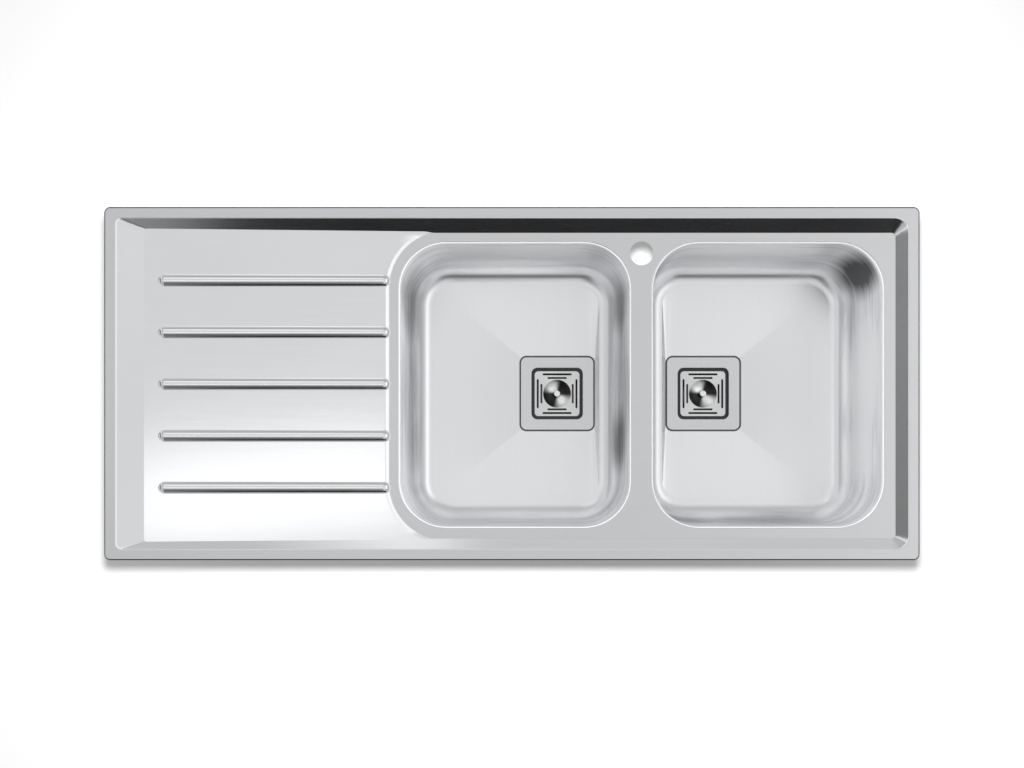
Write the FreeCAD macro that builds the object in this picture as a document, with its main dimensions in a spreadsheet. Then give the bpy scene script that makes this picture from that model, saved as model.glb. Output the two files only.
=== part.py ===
import FreeCAD, Part
import os
import re
import Sketcher

# An inset kitchen sink: a pressed stainless top with a ribbed drainer on the left, two drawn
# bowls welded under it, a square basket strainer waste in each bowl, and swinging clips that
# hold it in the worktop. The origin is the middle of the cut-out, in the plane of the worktop
# that the rim seal rests on. X runs along the sink towards the bowls, Y to the back, Z up.

Vector = FreeCAD.Vector
UP = Vector(0, 0, 1)
ALONG_Y = Vector(0, 1, 0)

# Driving dimensions in millimetres

SIZES = {
    # pressed top
    "overall_length": 1200,
    "overall_width": 520,
    "outer_corner_radius": 9,
    "sheet": 0.8,
    "rim_height": 4,
    "rim_edge_gap": 0.4,
    "rim_edge_radius": 2,
    "rim_width": 16,
    "rim_bend_radius": 3,
    "rim_corner_radius": 21,
    "drainer_corner_radius": 9,
    "deck_depth": 12,
    "back_wall_run": 20,
    "front_wall_run": 15.5,
    "right_wall_run": 16,
    "left_wall_run": 40,
    "deck_corner_radius": 6,
    "drainer_floor_radius": 2,
    # drainer
    "drainer_start_depth": 8.5,
    "drainer_end_depth": 10.5,
    "step_land": 12,
    "step_run": 6.6,
    "rib_width": 18,
    "rib_height": 3.4,
    "rib_pitch": 76.7,
    "rib_inset": 21,
    # tap hole
    "tap_hole_radius": 17.5,
    "tap_setback": 30,
    # bowls
    "bowl_length": 340,
    "bowl_corner_radius": 68,
    "bowl_floor_corner_radius": 64,
    "bowl_depth": 175,
    "bowl_draft": 4,
    "bowl_bend_radius": 30,
    "bowl_gap": 35,
    "right_land": 18.6,
    "front_land": 17.5,
    "back_land": 15,
    "collar_radius": 3.5,
    "collar_height": 8,
    "floor_fall": 8,
    "strainer_offset": 67,
    "recess_side": 125,
    "recess_radius": 12,
    "recess_depth": 2.6,
    # seal, pads and clips
    "seal_inset": 1.8,
    "seal_width": 9,
    "seal_corner_radius": 2,
    "pad_length": 100,
    "pad_width": 220,
    "pad_thickness": 2.5,
    "pad_gap": 14,
    "clip_inset": 40.5,
    "clip_pitch": 430,
    "bracket_width": 24,
    "bracket_depth": 10,
    "bracket_sheet": 1.5,
    "bracket_bottom": 26,
    "clip_screw_radius": 2.5,
    "clip_screw_top": 16,
    "clip_head_radius": 4.5,
    "clip_head_height": 3.5,
    "worktop_thickness": 38,
    "claw_reach": 42,
    "claw_width": 12,
    "claw_sheet": 2,
    "claw_lip": 9,
    # strainer cup and waste
    "flange_side": 119,
    "flange_radius": 9,
    "cup_sheet": 1,
    "cup_opening": 83,
    "cup_opening_radius": 9,
    "roll_radius": 2,
    "ledge_depth": 5,
    "cup_inner_side": 71,
    "cup_inner_radius": 7,
    "cup_depth": 34,
    "drain_hole_radius": 6.5,
    "drain_circle_radius": 21,
    "flange_seal": 1.4,
    "flange_seal_gap": 0.4,
    "waste_seal": 2,
    "seal_margin": 3,
    "waste_plate_side": 110,
    "waste_plate": 4,
    "waste_wall": 3,
    "waste_box_depth": 40,
    "funnel_height": 16,
    "outlet_radius": 23.9,
    "outlet_length": 34,
    "boss_radius": 8,
    "web_thickness": 2.5,
    "web_height": 12,
    "clamp_screw_radius": 3,
    "clamp_screw_length": 24,
    "clamp_head_radius": 5.8,
    "clamp_head_height": 2.4,
    # basket and plug
    "basket_side": 75,
    "basket_radius": 6.5,
    "basket_sheet": 1,
    "skirt_depth": 12,
    "skirt_radius": 5.5,
    "plate_round": 0.8,
    "outer_slot_length": 48,
    "inner_slot_length": 32,
    "slot_width": 3.2,
    "slot_round": 0.2,
    "outer_slot_place": 32,
    "inner_slot_place": 25.9,
    "dish_radius": 23,
    "dish_depth": 5,
    "bush_radius": 4.4,
    "bush_flange_radius": 7,
    "bush_flange": 1.2,
    "bush_lip": 0.6,
    "stem_radius": 3,
    "knob_radius": 5.4,
    "knob_neck_radius": 4.2,
    "knob_neck": 3.5,
    "knob_head": 4.5,
    "knob_round": 1.5,
    "knob_socket": 4,
    "stopper_radius": 30,
    "stopper_gap": 1,
    "stopper_thickness": 7,
    "stopper_relief": 4.5,
    "boss_gap": 5,
    "stopper_socket": 1.5,
    # clearances and overrun
    "running_clearance": 0.08,
    "seat_clearance": 0.3,
    "fitting_clearance": 0.7,
    "screw_clearance": 0.1,
    "overrun": 2,
}

# Levels and places worked out from the driving dimensions

PLACES = {
    "half_length": "overall_length / 2",
    "half_width": "overall_width / 2",
    "rim_under": "rim_height - sheet",
    "opening_x": "half_length - rim_width",
    "opening_y": "half_width - rim_width",
    "deck_level": "rim_height - deck_depth",
    "deck_right": "opening_x - right_wall_run",
    "deck_back": "opening_y - back_wall_run",
    "deck_front": "front_wall_run - opening_y",
    "drainer_left": "left_wall_run - opening_x",
    "deck_left": "left_wall_run * deck_depth / drainer_start_depth - opening_x",
    "right_bowl_x": "deck_right - right_land - bowl_length / 2",
    "left_bowl_x": "right_bowl_x - bowl_length - bowl_gap",
    "bowl_width": "deck_back - back_land - deck_front - front_land",
    "bowl_y": "deck_front + front_land + bowl_width / 2",
    "step_left": "left_bowl_x - bowl_length / 2 - collar_radius - step_land",
    "step_height": "deck_depth - drainer_end_depth",
    "step_radius": "bowl_corner_radius + collar_radius + step_land",
    "drainer_start_level": "rim_height - drainer_start_depth",
    "drainer_slope": "(drainer_end_depth - drainer_start_depth) / (step_left - step_run - drainer_left)",
    "drainer_right": "left_bowl_x - bowl_length / 2 + bowl_corner_radius",
    "rib_curve": "(rib_width ^ 2 / 4 + rib_height ^ 2) / (2 * rib_height)",
    "rib_start": "drainer_left + rib_inset + rib_width / 2",
    "rib_length": "step_left - rib_width / 2 - rib_start",
    "tap_x": "(left_bowl_x + right_bowl_x) / 2",
    "tap_y": "deck_back - tap_setback",
    "collar_bottom": "deck_level - collar_height",
    "collar_reach": "collar_radius + sheet",
    "floor_level": "deck_level - bowl_depth",
    "floor_round": "bowl_floor_corner_radius - bowl_bend_radius",
    "floor_inset": "bowl_draft + bowl_bend_radius",
    "floor_x": "bowl_length / 2 - floor_inset",
    "floor_y": "bowl_width / 2 - floor_inset",
    "recess_top": "floor_level - floor_fall",
    "recess_level": "recess_top - recess_depth",
    "clip_x": "half_length - clip_inset",
    "clip_y": "half_width - clip_inset",
    "claw_bottom": "-worktop_thickness - claw_lip",
    "flange_top": "flange_seal + cup_sheet",
    "ledge_top": "flange_top - ledge_depth",
    "cup_floor": "flange_top - cup_depth",
    "cup_under": "cup_floor - cup_sheet",
    "waste_opening": "cup_opening + 2 * cup_sheet + 2 * roll_radius",
    "waste_opening_radius": "cup_opening_radius + cup_sheet + roll_radius",
    "waste_top": "-sheet - waste_seal",
    "waste_box_bottom": "-waste_box_depth - waste_wall",
    "waste_box_radius": "waste_opening / 2 - waste_wall",
    "outlet_top": "waste_box_bottom - funnel_height",
    "outlet_bottom": "outlet_top - outlet_length",
    "basket_under": "ledge_top + seat_clearance",
    "basket_top": "basket_under + basket_sheet",
    "skirt_side": "cup_inner_side - 2 * fitting_clearance",
    "dish_curve": "(dish_radius ^ 2 + dish_depth ^ 2) / (2 * dish_depth)",
    "dish_low": "basket_top - dish_depth",
    "bush_top": "dish_low + bush_lip",
    "knob_bottom": "bush_top + seat_clearance",
    "stopper_bottom": "cup_floor + stopper_gap",
    "stopper_top": "stopper_bottom + stopper_thickness",
}

RIB_STEPS = (-2, -1, 0, 1, 2)
DRAIN_HOLES = 8
WEB_TURNS = (0, 120, 240)

TINY = 0.001

doc = FreeCAD.newDocument("inset_kitchen_sink")
sizes = doc.addObject("Spreadsheet::Sheet", "sizes")
places = doc.addObject("Spreadsheet::Sheet", "places")
workings = doc.addObject("Spreadsheet::Sheet", "workings")


def bound(formula):
    """A formula with each named size and place pointing at its sheet."""
    def owner(match):
        word = match.group(0)
        if word in SIZES:
            return "sizes." + word
        if word in PLACES:
            return "places." + word
        return word
    return re.sub(r"[a-z_]+", owner, formula)


for row, (name, length) in enumerate(SIZES.items(), 1):
    sizes.set("A%d" % row, name)
    sizes.set("B%d" % row, str(length))
    sizes.setAlias("B%d" % row, name)
doc.recompute()
for row, (name, formula) in enumerate(PLACES.items(), 1):
    places.set("A%d" % row, name)
    places.setAlias("B%d" % row, name)
    places.set("B%d" % row, "=" + bound(formula).replace("places.", ""))
doc.recompute()


def size(name):
    """The present value of a named size or place."""
    sheet = sizes if name in SIZES else places
    return float(sheet.get(name))


def measured(formula):
    """The present value of a formula, worked out in a sheet of its own."""
    workings.set("A1", "=" + bound(formula))
    workings.recompute()
    return float(workings.get("A1"))


def bind(piece, **formulas):
    """Bind properties of a document object to formulas."""
    for key, formula in formulas.items():
        piece.setExpression(key, bound(formula))


def place(piece, x="0", y="0", z="0", turn=0, axis=UP):
    """Turn an object about an axis and bind its place."""
    piece.Placement = FreeCAD.Placement(Vector(0, 0, 0), FreeCAD.Rotation(axis, turn))
    for key, formula in (("x", x), ("y", y), ("z", z)):
        piece.setExpression("Placement.Base." + key, bound(formula))
    return piece


def added(kind, label):
    """A new document object with its label."""
    piece = doc.addObject(kind, label)
    piece.Label = label
    return piece


# Sketched outlines


def hold(sketch, kind, line, formula):
    """Hold the start of a sketched line at a bound distance from the sketch's origin."""
    index = sketch.addConstraint(Sketcher.Constraint(kind, -1, 1, line, 1, measured(formula)))
    sketch.setExpression("Constraints[%d]" % index, bound(formula))


def polygon(label, points, level="0", upright=False):
    """A closed sketch through bound corners, flat, or upright in the XZ plane."""
    sketch = added("Sketcher::SketchObject", label)
    count = len(points)
    seeds = [FreeCAD.Rotation(UP, 360 * k / count).multVec(Vector(1, 0, 0)) for k in range(count)]
    for index in range(count):
        sketch.addGeometry(Part.LineSegment(seeds[index], seeds[(index + 1) % count]), False)
    for index in range(count):
        sketch.addConstraint(Sketcher.Constraint("Coincident", index, 2, (index + 1) % count, 1))
    for index, (x, y) in enumerate(points):
        hold(sketch, "DistanceX", index, x)
        hold(sketch, "DistanceY", index, y)
    return place(sketch, z=level, turn=90 if upright else 0, axis=Vector(1, 0, 0))


def rounded(label, left, right, front, back, radius, left_radius=None, level="0"):
    """A closed rectangle with rounded corners, from bound places and radii."""
    sketch = added("Sketcher::SketchObject", label)
    radii = (radius, radius, left_radius or radius, left_radius or radius)
    corners = []
    for x, y, corner_radius, quarter in zip((right, right, left, left), (front, back, back, front),
                                            radii, (-1, 0, 1, 2)):
        turn = FreeCAD.Rotation(UP, 90 * quarter)
        bend = measured(corner_radius)
        inward = turn.multVec(Vector(bend, bend, 0))
        centre = Vector(measured(x), measured(y), 0) - inward
        half_turn = FreeCAD.Rotation(UP, 90 * quarter + 45)
        corners.append([
            centre + turn.multVec(Vector(bend, 0, 0)),
            centre + half_turn.multVec(Vector(bend, 0, 0)),
            centre + turn.multVec(Vector(0, bend, 0)),
        ])
    for side in range(4):
        sketch.addGeometry(Part.LineSegment(corners[side - 1][2], corners[side][0]), False)
    for corner in corners:
        sketch.addGeometry(Part.Arc(*corner), False)
    for side in range(4):
        sketch.addConstraint(Sketcher.Constraint("Tangent", side, 2, side + 4, 1))
        sketch.addConstraint(Sketcher.Constraint("Tangent", side + 4, 2, (side + 1) % 4, 1))
    for side, kind in enumerate(("Horizontal", "Vertical", "Horizontal", "Vertical")):
        sketch.addConstraint(Sketcher.Constraint(kind, side))
    hold(sketch, "DistanceY", 0, front)
    hold(sketch, "DistanceX", 1, right)
    hold(sketch, "DistanceY", 2, back)
    hold(sketch, "DistanceX", 3, left)
    for corner, formula in enumerate(radii):
        index = sketch.addConstraint(Sketcher.Constraint("Radius", corner + 4, measured(formula)))
        sketch.setExpression("Constraints[%d]" % index, bound(formula))
    return place(sketch, z=level)


def square(label, side, radius, level="0"):
    """A centred square outline with rounded corners."""
    half = "(%s) / 2" % side
    return rounded(label, "-" + half, half, "-" + half, half, radius, level=level)


# Solids from outlines


def raised(label, outline, height):
    """A straight solid standing on an outline, or hanging from it where the height is negative."""
    solid = added("Part::Extrusion", label)
    solid.Base = outline
    solid.DirMode = "Custom"
    solid.Dir = UP
    solid.Solid = True
    bind(solid, LengthFwd=height)
    return solid


def tapered(label, outlines):
    """A solid ruled between outlines at two levels."""
    solid = added("Part::Loft", label)
    solid.Sections = outlines
    solid.Solid = True
    solid.Ruled = True
    return solid


def cylinder(label, radius, bottom, height, x="0", y="0"):
    solid = added("Part::Cylinder", label)
    bind(solid, Radius=radius, Height=height)
    return place(solid, x, y, bottom)


def block(label, length, width, height, x="0", y="0", z="0"):
    """A box centred on its place in plan, standing on its level."""
    solid = added("Part::Box", label)
    bind(solid, Length=length, Width=width, Height=height)
    return place(solid, "%s - (%s) / 2" % (x, length), "%s - (%s) / 2" % (y, width), z)


def fused(label, solids):
    joined = added("Part::MultiFuse", label)
    joined.Shapes = solids
    joined.Refine = True
    return joined


def less(label, base, tools):
    """A solid with one or more others cut out of it."""
    tool = tools[0] if len(tools) == 1 else fused(label + "_tools", tools)
    cut = added("Part::Cut", label)
    cut.Base = base
    cut.Tool = tool
    cut.Refine = True
    return cut


def shared(label, solids):
    overlap = added("Part::MultiCommon", label)
    overlap.Shapes = solids
    overlap.Refine = True
    return overlap


def copied(label, source, x="0", y="0", z="0", turn=0, axis=UP):
    """A copy of a solid, turned and placed."""
    copy = added("Part::Compound", label)
    copy.Links = [source]
    return place(copy, x, y, z, turn, axis)


def grouped(label, solids):
    group = added("Part::Compound", label)
    group.Links = solids
    return group


def eased(label, base, radius, chosen):
    """A solid with the edges that the test picks rounded to a radius."""
    doc.recompute()
    solid = added("Part::Fillet", label)
    solid.Base = base
    edges = enumerate(base.Shape.Edges, 1)
    solid.Edges = [(index, radius, radius) for index, edge in edges if chosen(edge)]
    return solid


def lies_at(level, inside_x=None, inside_y=None):
    """A test for edges that lie at a level, and within half sizes where they are given."""
    def test(edge):
        box = edge.BoundBox
        flat = abs(box.ZMin - level) < TINY and abs(box.ZMax - level) < TINY
        if inside_x is None:
            return flat
        return flat and max(abs(box.XMin), abs(box.XMax)) < inside_x and (
            max(abs(box.YMin), abs(box.YMax)) < inside_y)
    return test


# Pressed top


def opening_outline(label, level):
    return rounded(label, "-opening_x", "opening_x", "-opening_y", "opening_y",
                   "rim_corner_radius", "drainer_corner_radius", level)


def overall_outline(label, inset, radius, level):
    """The outline of the whole sink, drawn in by an inset."""
    return rounded(label, "%s - half_length" % inset, "half_length - %s" % inset,
                   "%s - half_width" % inset, "half_width - %s" % inset, radius, level=level)


def bowl_outline(label, grow, level):
    """The mouth of a bowl, grown outwards all round."""
    half_x = "(bowl_length / 2 + %s)" % grow
    half_y = "(bowl_width / 2 + %s)" % grow
    return rounded(label, "-" + half_x, half_x, "-" + half_y, half_y,
                   "bowl_corner_radius + %s" % grow, level=level)


def rib_tools():
    """Five half-round ribs with ball ends, lying along the slope of the drainer."""
    body = cylinder("rib_body", "rib_curve", "0", "rib_length")
    lying = copied("rib_lying", body, turn=90, axis=ALONG_Y)
    start = added("Part::Sphere", "rib_start_end")
    end = added("Part::Sphere", "rib_far_end")
    for ball in (start, end):
        bind(ball, Radius="rib_curve")
    place(end, x="rib_length")
    rib = fused("rib", [lying, start, end])
    drop = "drainer_slope * (rib_start - drainer_left)"
    place(rib, "rib_start", "0", "drainer_start_level + rib_height - rib_curve - " + drop,
          turn=1, axis=ALONG_Y)
    rib.setExpression("Placement.Rotation.Angle", bound("atan(drainer_slope)"))
    return [copied("rib_copy", rib, y="%d * rib_pitch" % step) for step in RIB_STEPS]


def tray_air():
    """The space above the sheet inside the rim: sloping walls, deck, drainer, step and ribs."""
    mouth = opening_outline("tray_mouth", "rim_height")
    foot = rounded("tray_foot", "deck_left", "deck_right", "deck_front", "deck_back",
                   "deck_corner_radius", "drainer_floor_radius", "deck_level")
    tray = tapered("tray", [mouth, foot])
    far_left = "-half_length"
    rise = "drainer_start_level + drainer_slope * (drainer_left + half_length)"
    fall = "drainer_start_level - drainer_slope * (drainer_right - drainer_left)"
    bottom = "deck_level - overrun"
    section = polygon("drainer_section", [(far_left, bottom), ("drainer_right", bottom),
                                          ("drainer_right", fall), (far_left, rise)], upright=True)
    place(section, y="half_width", turn=90, axis=Vector(1, 0, 0))
    slab = added("Part::Extrusion", "drainer_slab")
    slab.Base = section
    slab.DirMode = "Custom"
    slab.Dir = -ALONG_Y
    slab.Solid = True
    bind(slab, LengthFwd="overall_width")
    steps = []
    for label, count in (("step_foot", 0), ("step_head", 2)):
        grow = "%d * step_run" % count
        steps.append(rounded(label, "step_left - %s" % grow, "half_length + %s" % grow,
                             "deck_front - overrun - %s" % grow, "deck_back + overrun + %s" % grow,
                             "step_radius + %s" % grow, level="deck_level + %d * step_height" % count))
    step = tapered("step", steps)
    drainer = less("drainer", slab, [step])
    return less("tray_air", tray, [drainer] + rib_tools())


def collar():
    """The turned-down mouth that a bowl is welded to, with its rounded top edge."""
    height = "deck_level - collar_bottom"
    outer = raised("collar_outer", bowl_outline("collar_outline", "collar_reach", "collar_bottom"), height)
    mouth = raised("collar_mouth", bowl_outline("mouth_outline", "0", "collar_bottom - overrun"),
                   "collar_height + 2 * overrun")
    block_above = less("collar_block", outer, [mouth])
    top_edge = lies_at(size("deck_level"), size("bowl_length") / 2 + TINY, size("bowl_width") / 2 + TINY)
    above = eased("collar_above", block_above, size("collar_radius"), top_edge)
    wide = raised("collar_wide", bowl_outline("wide_outline", "collar_reach + overrun",
                                              "collar_bottom - overrun"),
                  "collar_height + overrun - sheet")
    behind = raised("collar_behind", bowl_outline("behind_outline", "sheet", "collar_bottom - 2 * overrun"),
                    "collar_height + 4 * overrun")
    hollow = less("collar_hollow", wide, [behind])
    under_edge = lies_at(size("deck_level") - size("sheet"), size("bowl_length") / 2 + size("sheet") + TINY,
                         size("bowl_width") / 2 + size("sheet") + TINY)
    below = eased("collar_below", hollow, size("collar_radius") - size("sheet"), under_edge)
    return less("collar", above, [below])


def sink_top(air, lowered_air):
    """The pressed sheet with its turned-down rim, two collared mouths and the tap hole."""
    rim = raised("rim_block", overall_outline("rim_outline", "0", "outer_corner_radius", "rim_edge_gap"),
                 "rim_height - rim_edge_gap")
    rim_round = eased("rim_round", rim, size("rim_edge_radius"), lies_at(size("rim_height")))
    hollow = raised("rim_hollow", overall_outline("hollow_outline", "sheet", "outer_corner_radius - sheet",
                                                "rim_edge_gap - overrun"),
                    "rim_under - rim_edge_gap + overrun")
    hollow_round = eased("rim_hollow_round", hollow, size("rim_edge_radius") - size("sheet"),
                         lies_at(size("rim_under")))
    rim_sheet = less("rim_sheet", rim_round, [hollow_round])
    above = raised("air_above", opening_outline("above_outline", "rim_height"), "overrun")
    formed = less("formed_sheet", fused("whole_sheet", [rim_sheet, lowered_air]), [air, above])
    bent = eased("bent_sheet", formed, size("rim_bend_radius"),
                 lies_at(size("rim_height"), size("opening_x") + TINY, size("opening_y") + TINY))
    mouth = raised("mouth_hole", bowl_outline("mouth_hole_outline", "collar_reach",
                                              "deck_level - 2 * overrun"), "4 * overrun")
    turned = collar()
    mouths = []
    collars = []
    for side in ("left", "right"):
        where = side + "_bowl_x"
        mouths.append(copied(side + "_mouth_hole", mouth, where, "bowl_y"))
        collars.append(copied(side + "_collar", turned, where, "bowl_y"))
    tap_hole = cylinder("tap_hole", "tap_hole_radius", "deck_level - 2 * overrun", "4 * overrun",
                        "tap_x", "tap_y")
    opened = less("opened_sheet", bent, mouths + [tap_hole])
    return fused("sink_top", [opened] + collars)


# Bowls


def bowl_form(label, grow, drop):
    """The filled form of a bowl: drawn walls, an envelope of falls and the square recess."""
    top = bowl_outline(label + "_mouth", grow, "collar_bottom")
    half_x = "(bowl_length / 2 - bowl_draft + %s)" % grow
    half_y = "(bowl_width / 2 - bowl_draft + %s)" % grow
    foot = rounded(label + "_foot", "-" + half_x, half_x, "-" + half_y, half_y,
                   "bowl_floor_corner_radius + %s" % grow, level="floor_level - %s" % drop)
    walls = tapered(label + "_walls", [top, foot])
    drawn = eased(label + "_drawn", walls, size("bowl_bend_radius") + (size(grow) if grow != "0" else 0),
                  lies_at(size("floor_level") - (size(drop) if drop != "0" else 0)))
    half = "recess_side / 2"
    near = "strainer_offset - " + half
    far = "strainer_offset + " + half
    eaves = rounded(label + "_eaves", "-floor_x", "floor_x", "-floor_y", "floor_y", "floor_round",
                    level="floor_level - %s" % drop)
    drain = rounded(label + "_drain", near, far, "-" + half, half, "recess_radius",
                    level="recess_top - %s" % drop)
    falls = tapered(label + "_falls", [eaves, drain])
    recess_outline = rounded(label + "_recess_outline", "%s - %s" % (near, grow), "%s + %s" % (far, grow),
                             "-%s - %s" % (half, grow), "%s + %s" % (half, grow),
                             "recess_radius + %s" % grow, level="recess_level - %s" % drop)
    recess = raised(label + "_recess", recess_outline, "recess_depth + %s" % drop)
    return fused(label, [drawn, falls, recess])


def bowl_shell(inner, outer):
    """One drawn bowl with its square waste hole, about the middle of its mouth."""
    hole_outline = square("waste_hole_outline", "waste_opening", "waste_opening_radius",
                          "recess_level - 2 * overrun")
    hole = raised("waste_hole", hole_outline, "4 * overrun")
    moved = copied("waste_hole_moved", hole, x="strainer_offset")
    return less("bowl_shell", outer, [inner, moved])


def sound_pad(outer):
    """A damping pad stuck under the long falls of a bowl, and following them."""
    near = "strainer_offset - recess_side / 2 - pad_gap"
    outline = rounded("pad_outline", "%s - pad_length" % near, near, "-pad_width / 2", "pad_width / 2",
                      "pad_gap", level="recess_level")
    column = raised("pad_column", outline, "floor_fall + recess_depth + sheet")
    lowered = copied("pad_lowered", outer, z="-pad_thickness")
    return less("sound_pad", shared("pad_layer", [column, lowered]), [outer])


# Rim seal and clips


def rim_seal():
    """The foam strip under the rim, which the sink sits on."""
    outer = raised("seal_outer", overall_outline("seal_outline", "seal_inset",
                                                 "outer_corner_radius - seal_inset", "0"), "rim_under")
    inner = raised("seal_inner", overall_outline("seal_inner_outline", "(seal_inset + seal_width)",
                                                 "seal_corner_radius", "-overrun"),
                   "rim_under + 2 * overrun")
    return less("rim_seal", outer, [inner])


def clip_bracket():
    """A folded steel stirrup, open at the top, with the screw hole in its foot."""
    blank = block("bracket_blank", "bracket_width", "bracket_depth", "bracket_bottom + rim_under",
                  z="-bracket_bottom")
    inside = block("bracket_inside", "bracket_width - 2 * bracket_sheet", "bracket_depth + 2 * overrun",
                   "bracket_bottom + rim_under", z="bracket_sheet - bracket_bottom")
    hole = cylinder("bracket_hole", "clip_screw_radius + screw_clearance", "-bracket_bottom - overrun",
                    "bracket_sheet + 2 * overrun")
    return less("bracket", blank, [inside, hole])


def clip_screw():
    """The screw that a claw hangs on, driven up from below."""
    head = cylinder("clip_head", "clip_head_radius", "claw_bottom - seat_clearance - clip_head_height",
                    "clip_head_height")
    shank = cylinder("clip_shank", "clip_screw_radius", "claw_bottom - seat_clearance",
                     "-clip_screw_top - claw_bottom + seat_clearance")
    return fused("clip_screw", [head, shank])


def claw():
    """A flat arm with a round end on the screw and a turned-up lip that grips the worktop."""
    arm = block("claw_arm", "claw_reach", "claw_width", "claw_sheet", "claw_reach / 2", z="claw_bottom")
    boss = cylinder("claw_boss", "claw_width / 2", "claw_bottom", "claw_sheet")
    lip = block("claw_lip_plate", "claw_sheet", "claw_width", "claw_lip - seat_clearance",
                "claw_reach - claw_sheet / 2", z="claw_bottom")
    hole = cylinder("claw_hole", "clip_screw_radius + running_clearance", "claw_bottom - overrun",
                    "claw_sheet + 2 * overrun")
    return less("claw", fused("claw_plate", [arm, boss, lip]), [hole])


def clip_spots():
    """Each clip's name, place and the turn that lays its stowed claw along the wall."""
    spots = []
    for row, step in (("left", -1), ("middle", 0), ("right", 1)):
        along = "%d * clip_pitch" % step
        spots.append(("front_" + row, along, "-clip_y", 180))
        spots.append(("back_" + row, along, "clip_y", 0))
    spots.append(("left_end", "-clip_x", "0", 90))
    spots.append(("right_end", "clip_x", "0", -90))
    return spots


# Waste and strainer, about the middle of the square recess with its floor at level zero


def waste_prism(label, side, radius, bottom, top):
    return raised(label, square(label + "_outline", side, radius, bottom), "%s - (%s)" % (top, bottom))


def ring(label, side, radius, bottom, top):
    """A square gasket round the cup."""
    outer = waste_prism(label + "_outer", side, radius, bottom, top)
    inner = waste_prism(label + "_opening", "waste_opening", "waste_opening_radius",
                        "%s - overrun" % bottom, "%s + overrun" % top)
    return less(label, outer, [inner])


def round_row(label, tool, count, radius):
    """Copies of a tool spaced evenly round a circle."""
    row = []
    for step in range(count):
        turn = 360 * step / count
        out = FreeCAD.Rotation(UP, turn).multVec(Vector(1, 0, 0))
        row.append(copied(label, tool, "%.9f * %s" % (out.x, radius), "%.9f * %s" % (out.y, radius),
                          turn=turn))
    return row


def strainer_cup():
    """The square flange and stepped cup, with drain holes round the clamp screw."""
    outer_side = "cup_opening + 2 * cup_sheet"
    outer_radius = "cup_opening_radius + cup_sheet"
    inner_side = "cup_inner_side + 2 * cup_sheet"
    inner_radius = "cup_inner_radius + cup_sheet"
    solid = fused("cup_solid", [
        waste_prism("cup_flange", "flange_side", "flange_radius", "flange_seal", "flange_top"),
        waste_prism("cup_upper", outer_side, outer_radius, "ledge_top - cup_sheet", "flange_top"),
        waste_prism("cup_lower", inner_side, inner_radius, "cup_under", "ledge_top"),
    ])
    reach = measured("(%s) / 2" % outer_side) + TINY
    rolled_under = eased("cup_rolled_under", solid, size("roll_radius") - size("cup_sheet"),
                         lies_at(size("flange_seal"), reach, reach))
    hole = cylinder("drain_hole", "drain_hole_radius", "cup_under - overrun", "cup_sheet + 2 * overrun")
    open_cup = less("open_cup", rolled_under, [
        waste_prism("cup_mouth", "cup_opening", "cup_opening_radius", "ledge_top", "flange_top + overrun"),
        waste_prism("cup_well", "cup_inner_side", "cup_inner_radius", "cup_floor", "ledge_top + overrun"),
        cylinder("cup_screw_hole", "clamp_screw_radius + screw_clearance", "cup_under - overrun",
                 "cup_sheet + 2 * overrun"),
    ] + round_row("drain_hole_copy", hole, DRAIN_HOLES, "drain_circle_radius"))
    return eased("strainer_cup", open_cup, size("roll_radius"),
                 lies_at(size("flange_top"), size("cup_opening") / 2 + TINY, size("cup_opening") / 2 + TINY))


def waste_body():
    """The plastic body that the clamp screw draws up under the bowl, with its threaded outlet."""
    outer_side = "waste_opening + 2 * waste_wall"
    outer_radius = "waste_opening_radius + waste_wall"
    box_top = "-waste_box_depth"
    funnel_outer = added("Part::Cone", "funnel_outer")
    bind(funnel_outer, Radius1="outlet_radius", Radius2="waste_opening / 2", Height="funnel_height")
    place(funnel_outer, z="outlet_top")
    funnel_inner = added("Part::Cone", "funnel_inner")
    bind(funnel_inner, Radius1="outlet_radius - waste_wall", Radius2="waste_box_radius",
         Height="funnel_height")
    place(funnel_inner, z="outlet_top")
    solid = fused("waste_solid", [
        waste_prism("waste_plate_prism", "waste_plate_side", "flange_radius", "waste_top - waste_plate",
                    "waste_top"),
        waste_prism("waste_box", outer_side, outer_radius, "waste_box_bottom", "waste_top"),
        funnel_outer,
        cylinder("outlet_outer", "outlet_radius", "outlet_bottom", "outlet_length"),
    ])
    inside = fused("waste_inside", [
        waste_prism("waste_well", "waste_opening", "waste_opening_radius", box_top, "waste_top + overrun"),
        cylinder("waste_throat", "waste_box_radius", "waste_box_bottom", "waste_wall + overrun"),
        funnel_inner,
        cylinder("outlet_bore", "outlet_radius - waste_wall", "outlet_bottom - overrun",
                 "outlet_length + overrun"),
    ])
    web = block("web", "waste_opening / 2", "web_thickness", "web_height", "waste_opening / 4",
                z="cup_under - web_height")
    webs = [copied("web_copy", web, turn=turn) for turn in WEB_TURNS]
    boss = cylinder("boss", "boss_radius", "cup_floor - clamp_screw_length - waste_wall",
                    "clamp_screw_length + waste_wall - cup_sheet")
    spider = shared("spider", [fused("spider_whole", webs + [boss]), inside])
    bore = cylinder("boss_bore", "clamp_screw_radius + screw_clearance", "cup_floor - clamp_screw_length",
                    "clamp_screw_length")
    return less("waste_body", fused("waste_whole", [less("waste_shell", solid, [inside]), spider]), [bore])


def clamp_screw():
    head = cylinder("clamp_head", "clamp_head_radius", "cup_floor", "clamp_head_height")
    shank = cylinder("clamp_shank", "clamp_screw_radius", "cup_floor - clamp_screw_length",
                     "clamp_screw_length")
    return fused("clamp_screw", [head, shank])


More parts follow.
